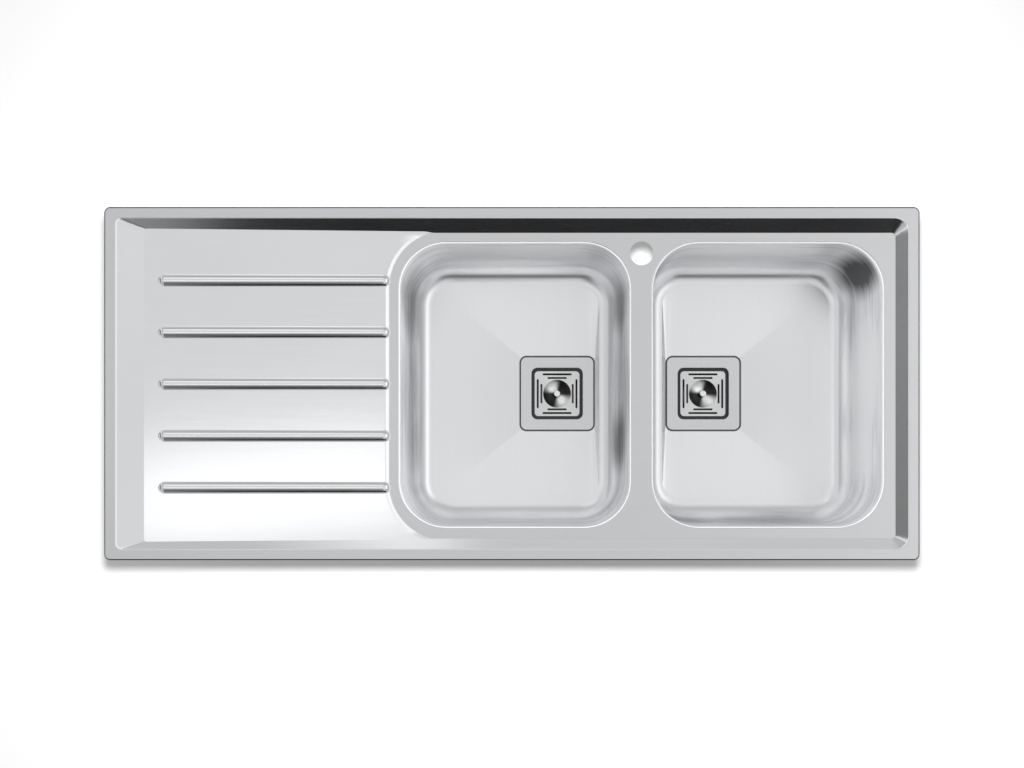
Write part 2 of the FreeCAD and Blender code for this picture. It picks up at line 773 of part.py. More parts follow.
def basket():
    """A square strainer plate with two rings of slots, a spun dish and a locating skirt."""
    blank = waste_prism("basket_blank", "basket_side", "basket_radius", "basket_under", "basket_top")
    plate = eased("basket_plate", blank, size("plate_round"), lies_at(size("basket_top")))
    skirt = waste_prism("basket_skirt", "skirt_side", "skirt_radius", "basket_under - skirt_depth",
                        "basket_under")
    hollow = waste_prism("skirt_hollow", "skirt_side - 2 * basket_sheet", "skirt_radius - basket_sheet",
                         "basket_under - skirt_depth - overrun", "basket_under")
    under_ball = added("Part::Sphere", "dish_under_ball")
    bind(under_ball, Radius="dish_curve + basket_sheet")
    place(under_ball, z="dish_low + dish_curve")
    over_ball = added("Part::Sphere", "dish_over_ball")
    bind(over_ball, Radius="dish_curve")
    place(over_ball, z="dish_low + dish_curve")
    core = cylinder("dish_core", "dish_radius + basket_sheet", "dish_low - 2 * basket_sheet",
                    "dish_depth + 2 * basket_sheet")
    dish = shared("dish_solid", [core, under_ball])
    slots = []
    for name, length, away in (("outer_slot", "outer_slot_length", "outer_slot_place"),
                               ("inner_slot", "inner_slot_length", "inner_slot_place")):
        outline = rounded(name + "_outline", "-%s / 2" % length, "%s / 2" % length, "-slot_width / 2",
                          "slot_width / 2", "slot_width / 2 - slot_round", level="basket_under - overrun")
        slot = raised(name, outline, "basket_sheet + 2 * overrun")
        slots.append(copied(name + "_back", slot, y=away))
        slots.append(copied(name + "_front", slot, y="-" + away))
        slots.append(copied(name + "_right", slot, x=away, turn=90))
        slots.append(copied(name + "_left", slot, x="-" + away, turn=90))
    hub = cylinder("bush_hole", "bush_radius + screw_clearance / 2", "dish_low - 2 * basket_sheet",
                   "dish_depth")
    whole = fused("basket_whole", [plate, less("skirt_wall", skirt, [hollow]), dish])
    return less("basket", whole, [over_ball, hub] + slots)


def stem_bush():
    """The plastic guide that the plug stem slides in."""
    sleeve = cylinder("bush_sleeve", "bush_radius", "dish_low - basket_sheet - bush_flange",
                      "bush_lip + basket_sheet + bush_flange")
    flange = cylinder("bush_flange_ring", "bush_flange_radius", "dish_low - basket_sheet - bush_flange",
                      "bush_flange")
    bore = cylinder("bush_bore", "stem_radius + running_clearance",
                    "dish_low - 2 * bush_flange - basket_sheet",
                    "bush_lip + 2 * basket_sheet + 4 * bush_flange")
    return less("stem_bush", fused("bush_solid", [sleeve, flange]), [bore])


def stem():
    """The rod from the stopper's socket up into the knob."""
    return cylinder("stem", "stem_radius", "stopper_top - stopper_socket",
                    "knob_bottom + knob_socket - stopper_top + stopper_socket")


def knob():
    """The turned pull knob with a narrower neck."""
    head = cylinder("knob_head_solid", "knob_radius", "knob_bottom + knob_neck", "knob_head")
    rounded_head = eased("knob_rounded", head, size("knob_round"),
                         lies_at(size("knob_bottom") + size("knob_neck") + size("knob_head")))
    neck = cylinder("knob_neck_solid", "knob_neck_radius", "knob_bottom", "knob_neck")
    socket = cylinder("knob_socket_bore", "stem_radius + screw_clearance / 2", "knob_bottom - overrun",
                      "knob_socket + overrun")
    return less("knob", fused("knob_solid", [rounded_head, neck]), [socket])


def stopper():
    """The rubber disc that covers the drain holes, hollowed under to clear the clamp screw."""
    disc = cylinder("stopper_disc", "stopper_radius", "stopper_bottom", "stopper_thickness")
    relief = cylinder("stopper_hollow", "clamp_head_radius + boss_gap", "stopper_bottom - overrun",
                      "stopper_relief + overrun")
    socket = cylinder("stopper_socket_bore", "stem_radius + screw_clearance / 2",
                      "stopper_top - stopper_socket", "stopper_socket + overrun")
    return less("stopper", disc, [relief, socket])


# Assembly


def assembled():
    """Every piece of the sink by name, in place."""
    air = tray_air()
    lowered_air = copied("lowered_air", air, z="-sheet")
    inner_form = bowl_form("bowl_inside", "0", "0")
    outer_form = bowl_form("bowl_outside", "sheet", "sheet")
    shell = bowl_shell(inner_form, outer_form)
    pad = sound_pad(outer_form)
    pieces = {"sink_top": sink_top(air, lowered_air), "rim_seal": rim_seal()}
    kit = {
        "flange_gasket": ring("flange_gasket_ring", "recess_side - 2 * flange_seal_gap",
                              "recess_radius - flange_seal_gap", "0", "flange_seal"),
        "strainer_cup": strainer_cup(),
        "clamp_screw": clamp_screw(),
        "waste_gasket": ring("waste_gasket_ring", "waste_plate_side - seal_margin", "flange_radius",
                             "waste_top", "-sheet"),
        "waste_body": waste_body(),
        "basket": basket(),
        "stem_bush": stem_bush(),
        "plug_stem": stem(),
        "plug_knob": knob(),
        "plug_stopper": stopper(),
    }
    for side, turn, toward in (("left", 0, "+"), ("right", 180, "-")):
        bowl_x = side + "_bowl_x"
        pieces[side + "_bowl"] = copied(side + "_bowl", shell, bowl_x, "bowl_y", turn=turn)
        pieces[side + "_sound_pad"] = copied(side + "_sound_pad", pad, bowl_x, "bowl_y", turn=turn)
        for name, source in kit.items():
            label = side + "_" + name
            pieces[label] = copied(label, source, "%s %s strainer_offset" % (bowl_x, toward), "bowl_y",
                                   "recess_level")
    bracket = clip_bracket()
    screw = clip_screw()
    arm = claw()
    brackets = []
    screws = []
    for spot, x, y, turn in clip_spots():
        brackets.append(copied(spot + "_bracket", bracket, x, y, turn=turn))
        screws.append(copied(spot + "_screw", screw, x, y))
        pieces[spot + "_claw"] = copied(spot + "_claw", arm, x, y, turn=turn)
    blanks = grouped("bracket_blanks", brackets)
    pieces["clip_brackets"] = less("clip_brackets", blanks, [lowered_air])
    pieces["clip_screws"] = grouped("clip_screws", screws)
    return pieces


def checked(pieces):
    """Stop if any object failed to build."""
    doc.recompute()
    for item in doc.Objects:
        if "Invalid" in item.State or "Error" in item.State:
            raise RuntimeError("%s did not build" % item.Label)
    for name, piece in pieces.items():
        if piece.Shape.isNull() or not piece.Shape.isValid():
            raise RuntimeError("%s has no valid shape" % name)


def written(pieces):
    """Write each piece to a STEP file that carries its name."""
    os.makedirs("parts", exist_ok=True)
    for name, piece in pieces.items():
        piece.Shape.exportStep("parts/%s.step" % name)
        print(name, len(piece.Shape.Solids), round(piece.Shape.Volume))


PIECES = assembled()
checked(PIECES)
written(PIECES)
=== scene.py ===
import bpy
import bmesh
import math
from bpy.props import FloatProperty, FloatVectorProperty, PointerProperty
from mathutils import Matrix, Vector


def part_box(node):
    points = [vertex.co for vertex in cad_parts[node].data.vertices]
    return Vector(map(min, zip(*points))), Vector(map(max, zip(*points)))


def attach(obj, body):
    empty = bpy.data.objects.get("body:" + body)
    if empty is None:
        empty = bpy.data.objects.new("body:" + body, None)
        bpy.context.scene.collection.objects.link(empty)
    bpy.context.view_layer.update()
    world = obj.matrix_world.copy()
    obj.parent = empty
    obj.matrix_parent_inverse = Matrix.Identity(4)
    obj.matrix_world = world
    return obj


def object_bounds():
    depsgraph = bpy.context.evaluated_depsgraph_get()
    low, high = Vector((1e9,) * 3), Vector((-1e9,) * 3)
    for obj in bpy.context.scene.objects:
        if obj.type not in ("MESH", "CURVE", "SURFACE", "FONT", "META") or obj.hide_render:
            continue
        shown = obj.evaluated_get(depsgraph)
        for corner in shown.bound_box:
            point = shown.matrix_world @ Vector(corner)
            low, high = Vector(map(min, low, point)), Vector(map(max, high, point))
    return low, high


bl_info = {
    "name": "Inset Kitchen Sink",
    "version": (1, 0, 0),
    "blender": (4, 5, 0),
    "location": "View3D > Sidebar > Sink",
    "description": "Dresses the packed inset sink with its finishes, stage and camera",
    "category": "Object",
}

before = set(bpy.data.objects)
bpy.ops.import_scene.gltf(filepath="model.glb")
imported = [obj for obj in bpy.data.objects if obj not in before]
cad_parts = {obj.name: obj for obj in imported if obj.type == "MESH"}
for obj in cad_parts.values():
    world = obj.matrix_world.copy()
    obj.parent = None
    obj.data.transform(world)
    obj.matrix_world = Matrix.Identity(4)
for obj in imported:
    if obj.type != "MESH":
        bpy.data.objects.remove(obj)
CAD_BOX = [list(corner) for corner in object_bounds()]

SHELL = "sink_shell"
SIDES = ("left", "right")
CLAWS = [name for name in sorted(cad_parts) if name.endswith("_claw")]
FLOOR_LEVEL = CAD_BOX[0][2]
HALF_LENGTH, HALF_WIDTH, RIM_TOP = CAD_BOX[1]
DECK_DEPTH = 0.012
DECK_LEVEL = RIM_TOP - DECK_DEPTH
OUTER_CORNER = 0.009


def middle_of(name):
    """The centre of a CAD node's box."""
    low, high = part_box(name)
    return [(a + b) / 2 for a, b in zip(low, high)]


def half_sizes(name):
    """Half the length, width and height of a CAD node's box."""
    low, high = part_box(name)
    return [(b - a) / 2 for a, b in zip(low, high)]


# Settings

COLOUR = {"size": 3, "subtype": "COLOR", "min": 0.0, "max": 1.0}
SHARE = {"subtype": "FACTOR", "min": 0.0, "max": 1.0}


class SinkStageSettings(bpy.types.PropertyGroup):
    """The studio that the sink is shown in."""
    camera_height: FloatProperty(
        name="Camera height", description="Height of the camera above the worktop",
        default=1.604, unit="LENGTH")
    camera_offset: FloatVectorProperty(
        name="Camera offset", description="Where the camera stands over the sink",
        default=(0.027, -0.127), size=2, unit="LENGTH")
    lens: FloatProperty(
        name="Lens", description="Focal length of the lens", default=38.255, unit="CAMERA")
    sensor_width: FloatProperty(
        name="Sensor width", description="Width of the camera's frame", default=36.0, unit="CAMERA")
    shift: FloatVectorProperty(
        name="Lens shift", description="Shift that frames the whole sink",
        default=(-0.0178, 0.0839), size=2)
    floor_gap: FloatProperty(
        name="Floor gap", description="Space between the waste outlets and the floor",
        default=0.001, unit="LENGTH")
    floor_reach: FloatProperty(
        name="Floor reach", description="How far the floor runs to each side of the sink",
        default=6.0, unit="LENGTH")
    floor_colour: FloatVectorProperty(
        name="Floor colour", description="Colour of the pale floor",
        default=(0.52, 0.52, 0.52), **COLOUR)
    floor_lift: FloatProperty(
        name="Floor lift", description="Plain glow that brings the lit floor up to white",
        default=0.10)
    sky_level: FloatProperty(
        name="Overhead level", description="Brightness of the diffuser overhead", default=0.80)
    wall_level: FloatProperty(
        name="Wall level", description="Brightness of the studio walls", default=0.52)
    horizon_level: FloatProperty(
        name="Horizon level", description="Brightness of the walls low down", default=0.85)
    cloud_depth: FloatProperty(
        name="Cloud depth", description="How much the walls' light varies from place to place",
        default=0.7)
    overhead_cloud: FloatProperty(
        name="Overhead cloud", description="How much the diffuser's light varies", default=0.15)
    lamp_power: FloatProperty(
        name="Lamp power", description="Power of the lamp that throws the sink's shadow",
        default=66.0, unit="POWER")
    lamp_size: FloatProperty(
        name="Lamp size", description="Width of that lamp", default=0.11, unit="LENGTH")
    lamp_place: FloatVectorProperty(
        name="Lamp place", description="Where that lamp hangs over the sink",
        default=(0.03, -0.034, 1.58), size=3, unit="LENGTH")


class SinkSteelSettings(bpy.types.PropertyGroup):
    """The stainless sheet and its finishes."""
    sheet_colour: FloatVectorProperty(
        name="Sheet colour", description="Colour of the bright stainless sheet",
        default=(0.81, 0.82, 0.83), **COLOUR)
    bowl_colour: FloatVectorProperty(
        name="Bowl colour", description="Colour of the drawn bowls",
        default=(0.885, 0.895, 0.91), **COLOUR)
    satin_colour: FloatVectorProperty(
        name="Satin colour", description="Colour of the satin rim and deck",
        default=(0.685, 0.695, 0.71), **COLOUR)
    # Painted highlight: a near-white colour laid on the collars, the fold inside the rim and the step beside
    # the drainer
    painted_highlight_colour: FloatVectorProperty(
        name="Collar colour", description="Colour of the collars round the bowls",
        default=(0.96, 0.965, 0.97), **COLOUR)
    satin_roughness: FloatProperty(
        name="Satin roughness", description="Roughness of the satin rim and deck",
        default=0.34, **SHARE)
    bright_roughness: FloatProperty(
        name="Bright roughness", description="Roughness of the drainer, its ribs and the walls",
        default=0.14, **SHARE)
    collar_roughness: FloatProperty(
        name="Collar roughness", description="Roughness of the collars round the bowls",
        default=0.4, **SHARE)
    collar_matt: FloatProperty(
        name="Collar matting", description="How matt those collars are",
        default=0.26, **SHARE)
    fold_matt: FloatProperty(
        name="Fold matting", description="Share of that which the fold inside the rim takes",
        default=0.3, **SHARE)
    step_matt: FloatProperty(
        name="Step matting", description="Share of that which the step beside the drainer takes",
        default=0.4, **SHARE)
    # Painted dark reflection: a near-black colour on the turned-down outer edge
    painted_edge_reflection: FloatVectorProperty(
        name="Outer edge colour", description="Colour of the turned-down outer edge",
        default=(0.05, 0.05, 0.055), **COLOUR)
    bowl_roughness: FloatProperty(
        name="Bowl roughness", description="Roughness of the drawn bowls",
        default=0.30, **SHARE)
    wall_haze: FloatProperty(
        name="Wall haze", description="How much the satin of the bowls' walls scatters light",
        default=0.15, **SHARE)
    draw_marks: FloatProperty(
        name="Draw marks", description="How strongly the walls' bands differ in tone", default=0.9)
    outside_shade: FloatProperty(
        name="Outside shade", description="Tone of the bowls' unpolished outsides beside their insides",
        default=0.6, **SHARE)
    # Painted shade on the falls that face left and right of a drain
    painted_fall_shade: FloatProperty(
        name="Fall shade", description="How much darker the falls left and right of a drain look",
        default=0.09, **SHARE)
    grain_pitch: FloatProperty(
        name="Grain pitch", description="Width of one brush line",
        default=0.0006, unit="LENGTH")
    grain_length: FloatProperty(
        name="Grain length", description="Length of one brush line",
        default=0.05, unit="LENGTH")


class SinkFittingSettings(bpy.types.PropertyGroup):
    """The strainers, seals, wastes and clips."""
    pressing_colour: FloatVectorProperty(
        name="Pressing colour", description="Colour of the strainer cups",
        default=(0.70, 0.71, 0.72), **COLOUR)
    # Painted shade: a near-black colour on the rolled mouth and the inside of the cups
    painted_mouth_shade: FloatVectorProperty(
        name="Mouth colour", description="Colour of the rolled mouth and the inside of the cups",
        default=(0.055, 0.055, 0.06), **COLOUR)
    basket_colour: FloatVectorProperty(
        name="Basket colour", description="Colour of the spun strainer baskets",
        default=(0.74, 0.745, 0.75), **COLOUR)
    # Painted reflection: darkest tone of the wedges painted in a dish as the bow-tie reflection of spun
    # metal
    painted_wedge_shade: FloatProperty(
        name="Dish shade", description="Tone of the dark wedges that spinning leaves in a dish",
        default=0.04, **SHARE)
    polish_colour: FloatVectorProperty(
        name="Polish colour", description="Colour of the polished knobs and stems",
        default=(0.93, 0.935, 0.94), **COLOUR)
    screw_colour: FloatVectorProperty(
        name="Screw colour", description="Colour of the clamp screws",
        default=(0.66, 0.665, 0.67), **COLOUR)
    weld_colour: FloatVectorProperty(
        name="Weld colour", description="Colour of the weld beads, tinted by heat",
        default=(0.55, 0.53, 0.50), **COLOUR)
    rubber_colour: FloatVectorProperty(
        name="Rubber colour", description="Colour of the gaskets and stoppers",
        default=(0.022, 0.022, 0.024), **COLOUR)
    foam_colour: FloatVectorProperty(
        name="Foam colour", description="Colour of the rim seal",
        default=(0.055, 0.055, 0.06), **COLOUR)
    pad_colour: FloatVectorProperty(
        name="Pad colour", description="Colour of the damping pads",
        default=(0.085, 0.085, 0.09), **COLOUR)
    waste_colour: FloatVectorProperty(
        name="Waste colour", description="Colour of the moulded waste bodies",
        default=(0.05, 0.05, 0.055), **COLOUR)
    guide_colour: FloatVectorProperty(
        name="Guide colour", description="Colour of the stem bushes",
        default=(0.75, 0.75, 0.73), **COLOUR)
    zinc_colour: FloatVectorProperty(
        name="Zinc colour", description="Colour of the zinc plated clips",
        default=(0.60, 0.62, 0.65), **COLOUR)
    outlet_pitch: FloatProperty(
        name="Outlet thread pitch", description="Pitch of the thread on a waste outlet",
        default=0.00231, unit="LENGTH")
    outlet_height: FloatProperty(
        name="Outlet thread height", description="How far that thread stands out",
        default=0.0006, unit="LENGTH")
    clip_pitch: FloatProperty(
        name="Clip thread pitch", description="Pitch of the thread on a clip screw",
        default=0.001, unit="LENGTH")
    clip_height: FloatProperty(
        name="Clip thread height", description="How far that thread stands out",
        default=0.0003, unit="LENGTH")
    bead_radius: FloatProperty(
        name="Bead radius", description="Half the width of the weld bead under a collar",
        default=0.0006, unit="LENGTH")


# Node tools


def new_material(name):
    """A material with an empty node tree, its Principled shader and its output."""
    material = bpy.data.materials.new(name)
    material.use_nodes = True
    tree = material.node_tree
    tree.nodes.clear()
    shader = tree.nodes.new("ShaderNodeBsdfPrincipled")
    output = tree.nodes.new("ShaderNodeOutputMaterial")
    tree.links.new(shader.outputs["BSDF"], output.inputs["Surface"])
    return material, tree, shader


def new_group(name, **numbers):
    """A shader node group that turns a place and named numbers into roughness, height and tone."""
    group = bpy.data.node_groups.new(name, "ShaderNodeTree")
    group.interface.new_socket(name="Vector", in_out="INPUT", socket_type="NodeSocketVector")
    for label, default in numbers.items():
        socket = group.interface.new_socket(name=label, in_out="INPUT", socket_type="NodeSocketFloat")
        socket.default_value = default
    for label in ("Roughness", "Height", "Tone"):
        group.interface.new_socket(name=label, in_out="OUTPUT", socket_type="NodeSocketFloat")
    entry = group.nodes.new("NodeGroupInput")
    leave = group.nodes.new("NodeGroupOutput")
    return group, entry.outputs, leave


def node(tree, kind, **settings):
    """A new node with the properties that are given."""
    made = tree.nodes.new(kind)
    for key, value in settings.items():
        setattr(made, key, value)
    return made


def feed(tree, made, **sockets):
    """Fill a node's inputs, by name or as _number, with values or other nodes' outputs."""
    for key, value in sockets.items():
        socket = made.inputs[int(key[1:])] if key[0] == "_" else made.inputs[key.replace("_", " ")]
        if isinstance(value, bpy.types.NodeSocket):
            tree.links.new(value, socket)
        else:
            socket.default_value = value
    return made


def maths(tree, operation, *values):
    """The result of a sum on numbers or sockets."""
    made = node(tree, "ShaderNodeMath", operation=operation)
    feed(tree, made, **{"_%d" % k: value for k, value in enumerate(values)})
    return made.outputs[0]


def vector_maths(tree, operation, *values):
    """The result of a sum on vectors."""
    made = node(tree, "ShaderNodeVectorMath", operation=operation)
    feed(tree, made, **{"_%d" % k: value for k, value in enumerate(values)})
    return made.outputs["Value" if operation in ("DOT_PRODUCT", "LENGTH", "DISTANCE") else "Vector"]


def ramp(tree, value, low, high, out_low=0.0, out_high=1.0):
    """A smooth step from one value to another."""
    made = node(tree, "ShaderNodeMapRange", interpolation_type="SMOOTHSTEP")
    feed(tree, made, Value=value, From_Min=low, From_Max=high, To_Min=out_low, To_Max=out_high)
    return made.outputs["Result"]


def object_place(tree):
    """A point's own coordinates, which are the frame's."""
    return node(tree, "ShaderNodeTexCoord").outputs["Object"]


def axes(tree, vector):
    """The three parts of a vector."""
    return feed(tree, node(tree, "ShaderNodeSeparateXYZ"), Vector=vector).outputs


def noise(tree, vector, scale, detail=2.0, roughness=0.5):
    """Soft noise between nought and one."""
    made = node(tree, "ShaderNodeTexNoise")
    feed(tree, made, Vector=vector, Scale=scale, Detail=detail, Roughness=roughness)
    return made.outputs[0]


def raise_surface(tree, shader, height, strength, distance):
    """Bump a shader's surface, over the bumps that it already has."""
    made = feed(tree, node(tree, "ShaderNodeBump"), Height=height, Strength=strength, Distance=distance)
    for link in shader.inputs["Normal"].links:
        tree.links.new(link.from_socket, made.inputs["Normal"])
    tree.links.new(made.outputs[0], shader.inputs["Normal"])


def mix_colours(tree, factor, first, second, blend="MIX"):
    """Two colours mixed, or multiplied, by a factor."""
    made = node(tree, "ShaderNodeMix", data_type="RGBA", blend_type=blend)
    feed(tree, made, _0=factor, _6=first, _7=second)
    return made.outputs[2]


def between(tree, value, low, high, softness):
    """A mask that is one between two values and fades over the softness outside them."""
    rise = ramp(tree, value, low - softness, low)
    fall = ramp(tree, value, high, high + softness, 1.0, 0.0)
    return maths(tree, "MULTIPLY", rise, fall)


def edge_distance(tree, coordinates, half_x, half_y, corner):
    """How far inside a rounded outline about the origin a point lies."""
    out = vector_maths(tree, "ABSOLUTE", coordinates)
    past = vector_maths(tree, "SUBTRACT", out, (half_x - corner, half_y - corner, 0.0))
    x, y, _ = axes(tree, past)
    flat = vector_maths(tree, "MULTIPLY", past, (1.0, 1.0, 0.0))
    outside = vector_maths(tree, "MAXIMUM", flat, (0.0, 0.0, 0.0))
    inside = maths(tree, "MINIMUM", maths(tree, "MAXIMUM", x, y), 0.0)
    reach = maths(tree, "ADD", vector_maths(tree, "LENGTH", outside), inside)
    return maths(tree, "SUBTRACT", corner, reach)


def soft_patch(tree, coordinates, centre, spread):
    """A mask that is one at a place and fades to nothing over its spread along each axis."""
    away = vector_maths(tree, "SUBTRACT", coordinates, centre)
    scaled = vector_maths(tree, "DIVIDE", away, spread)
    plateau_share = 0.25
    return ramp(tree, vector_maths(tree, "LENGTH", scaled), plateau_share, 1.0, 1.0, 0.0)


# Shared effects


def brush_grain_group():
    """Long fine lines along X, with slow cloudy changes of shine."""
    group, given, leave = new_group("brush_grain", Pitch=0.0006, Length=0.05, Roughness=0.25, Spread=0.05,
                                    Contrast=0.03)
    x, y, z = axes(group, given["Vector"])
    lines = feed(group, node(group, "ShaderNodeCombineXYZ"), X=maths(group, "DIVIDE", x, given["Length"]),
                 Y=maths(group, "DIVIDE", y, given["Pitch"]), Z=maths(group, "DIVIDE", z, given["Pitch"]))
    fine = noise(group, lines.outputs[0], 1.0, detail=3.0, roughness=0.6)
    broad_shares = (0.35, 0.08, 0.08)
    broad = noise(group, vector_maths(group, "MULTIPLY", lines.outputs[0], broad_shares), 1.0)
    clouds_per_metre = 9.0
    cloud = noise(group, given["Vector"], clouds_per_metre)
    mixed = maths(group, "ADD", fine, broad)
    centred = maths(group, "SUBTRACT", mixed, 1.0)
    shine = maths(group, "ADD", centred, maths(group, "SUBTRACT", cloud, 0.5))
    feed(group, leave, Roughness=maths(group, "MULTIPLY_ADD", shine, given["Spread"], given["Roughness"]),
         Height=mixed, Tone=maths(group, "MULTIPLY_ADD", shine, given["Contrast"], 1.0))


def mould_grain_group():
    """The fine skin of a moulding: small bumps, and a slow change of shade and shine."""
    group, given, leave = new_group("mould_grain", Size=0.0008, Roughness=0.5, Contrast=0.2)
    fine_scale = maths(group, "DIVIDE", 1.0, given["Size"])
    fine = noise(group, given["Vector"], fine_scale)
    slow_share = 0.03
    slow = noise(group, given["Vector"], maths(group, "MULTIPLY", fine_scale, slow_share), detail=3.0)
    shade = maths(group, "SUBTRACT", maths(group, "ADD", fine, slow), 1.0)
    spread = 0.15
    feed(group, leave, Roughness=maths(group, "MULTIPLY_ADD", shade, spread, given["Roughness"]),
         Height=fine, Tone=maths(group, "MULTIPLY_ADD", shade, given["Contrast"], 1.0))


def spangle_group():
    """The small flat crystals of a zinc coat, each with its own shade and shine."""
    group, given, leave = new_group("spangle", Size=0.003, Roughness=0.35, Contrast=0.25)
    cells = feed(group, node(group, "ShaderNodeTexVoronoi"), Vector=given["Vector"],
                 Scale=maths(group, "DIVIDE", 1.0, given["Size"]))
    channel_shares = (0.34, 0.33, 0.33)
    shade = vector_maths(group, "DOT_PRODUCT", cells.outputs["Color"], channel_shares)
    centred = maths(group, "SUBTRACT", shade, 0.5)
    spread = 0.3
    feed(group, leave, Roughness=maths(group, "MULTIPLY_ADD", centred, spread, given["Roughness"]),
         Height=shade, Tone=maths(group, "MULTIPLY_ADD", centred, given["Contrast"], 1.0))


EFFECTS = {"brush_grain": brush_grain_group, "mould_grain": mould_grain_group, "spangle": spangle_group}


def place_effect(tree, name, **sockets):
    """A shared effect, built when it is first asked for, with this material's own values."""
    if name not in bpy.data.node_groups:
        EFFECTS[name]()
    made = node(tree, "ShaderNodeGroup", node_tree=bpy.data.node_groups[name])
    return feed(tree, made, **sockets)


def finish(tree, shader, grain, colour, bump, metallic):
    """Lead a grain group's tone, roughness and height into a shader."""
    if not isinstance(colour, bpy.types.NodeSocket):
        colour = (*colour, 1.0)
    tree.links.new(mix_colours(tree, 1.0, colour, grain.outputs["Tone"], "MULTIPLY"),
                   shader.inputs["Base Color"])
    tree.links.new(grain.outputs["Roughness"], shader.inputs["Roughness"])
    feed(tree, shader, Metallic=metallic)
    raise_surface(tree, shader, grain.outputs["Height"], strength=0.5, distance=bump)


def steel_material(name, colour, roughness, spread, pitch, length):
    """Brushed stainless steel whose lines run along X."""
    material, tree, shader = new_material(name)
    coordinates = object_place(tree)
    grain = place_effect(tree, "brush_grain", Vector=coordinates, Pitch=pitch, Length=length,
                         Roughness=roughness, Spread=spread)
    finish(tree, shader, grain, colour, bump=0.00002, metallic=1.0)
    return material


# How far below a cup's flange the painted shade of its dark mouth starts
MOUTH_SHADE_DROP = (0.0002, 0.0008)


def strainer_cup_material(steel, fittings):
    """A satin flange round a mouth and cup coloured near black as painted shade and dark reflection."""
    material, tree, shader = new_material("strainer_pressing")
    coordinates = object_place(tree)
    height = axes(tree, coordinates)["Z"]
    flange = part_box("left_strainer_cup")[1][2]
    # Painted shade: below the flange the mouth and cup are coloured near black
    inside = ramp(tree, height, flange - MOUTH_SHADE_DROP[1], flange - MOUTH_SHADE_DROP[0], 1.0, 0.0)
    colour = mix_colours(tree, inside, (*fittings.pressing_colour, 1.0), (*fittings.painted_mouth_shade, 1.0))
    grain = place_effect(tree, "brush_grain", Vector=coordinates, Pitch=steel.grain_pitch,
                         Length=steel.grain_length, Roughness=0.22, Spread=0.04)
    finish(tree, shader, grain, colour, bump=0.00002, metallic=1.0)
    return material


def moulded_material(name, colour, roughness, size, contrast, bump):
    """Rubber, foam or plastic with its moulded skin."""
    material, tree, shader = new_material(name)
    coordinates = object_place(tree)
    grain = place_effect(tree, "mould_grain", Vector=coordinates, Size=size, Roughness=roughness,
                         Contrast=contrast)
    finish(tree, shader, grain, colour, bump, metallic=0.0)
    return material


def zinc_material(name, colour, roughness, size):
    """Zinc plated steel with its spangle."""
    material, tree, shader = new_material(name)
    coordinates = object_place(tree)
    grain = place_effect(tree, "spangle", Vector=coordinates, Size=size, Roughness=roughness)
    finish(tree, shader, grain, colour, bump=0.00003, metallic=1.0)
    return material


# Where the pressed top's finishes, painted highlights and painted dark edge meet: how far from a level, from
# the outline, or from the left bowl
LEVEL_BAND = (0.0001, 0.0003)
COLLAR_BAND = (0.0003, 0.0006)
FOLD_BAND = (0.0002, 0.0006)
FOLD_FADE = 0.0001
FOLD_INSET = (0.006, 0.008)
EDGE_INSET = (0.0016, 0.0024)
STEP_BAND = (0.0004, 0.0012)
STEP_FADE = 0.0002
STEP_REACH = (-0.0336, 0.0564)
STEP_REACH_FADE = 0.01
STEP_HALF_WIDTH = 0.218
STEP_END_FADE = 0.005


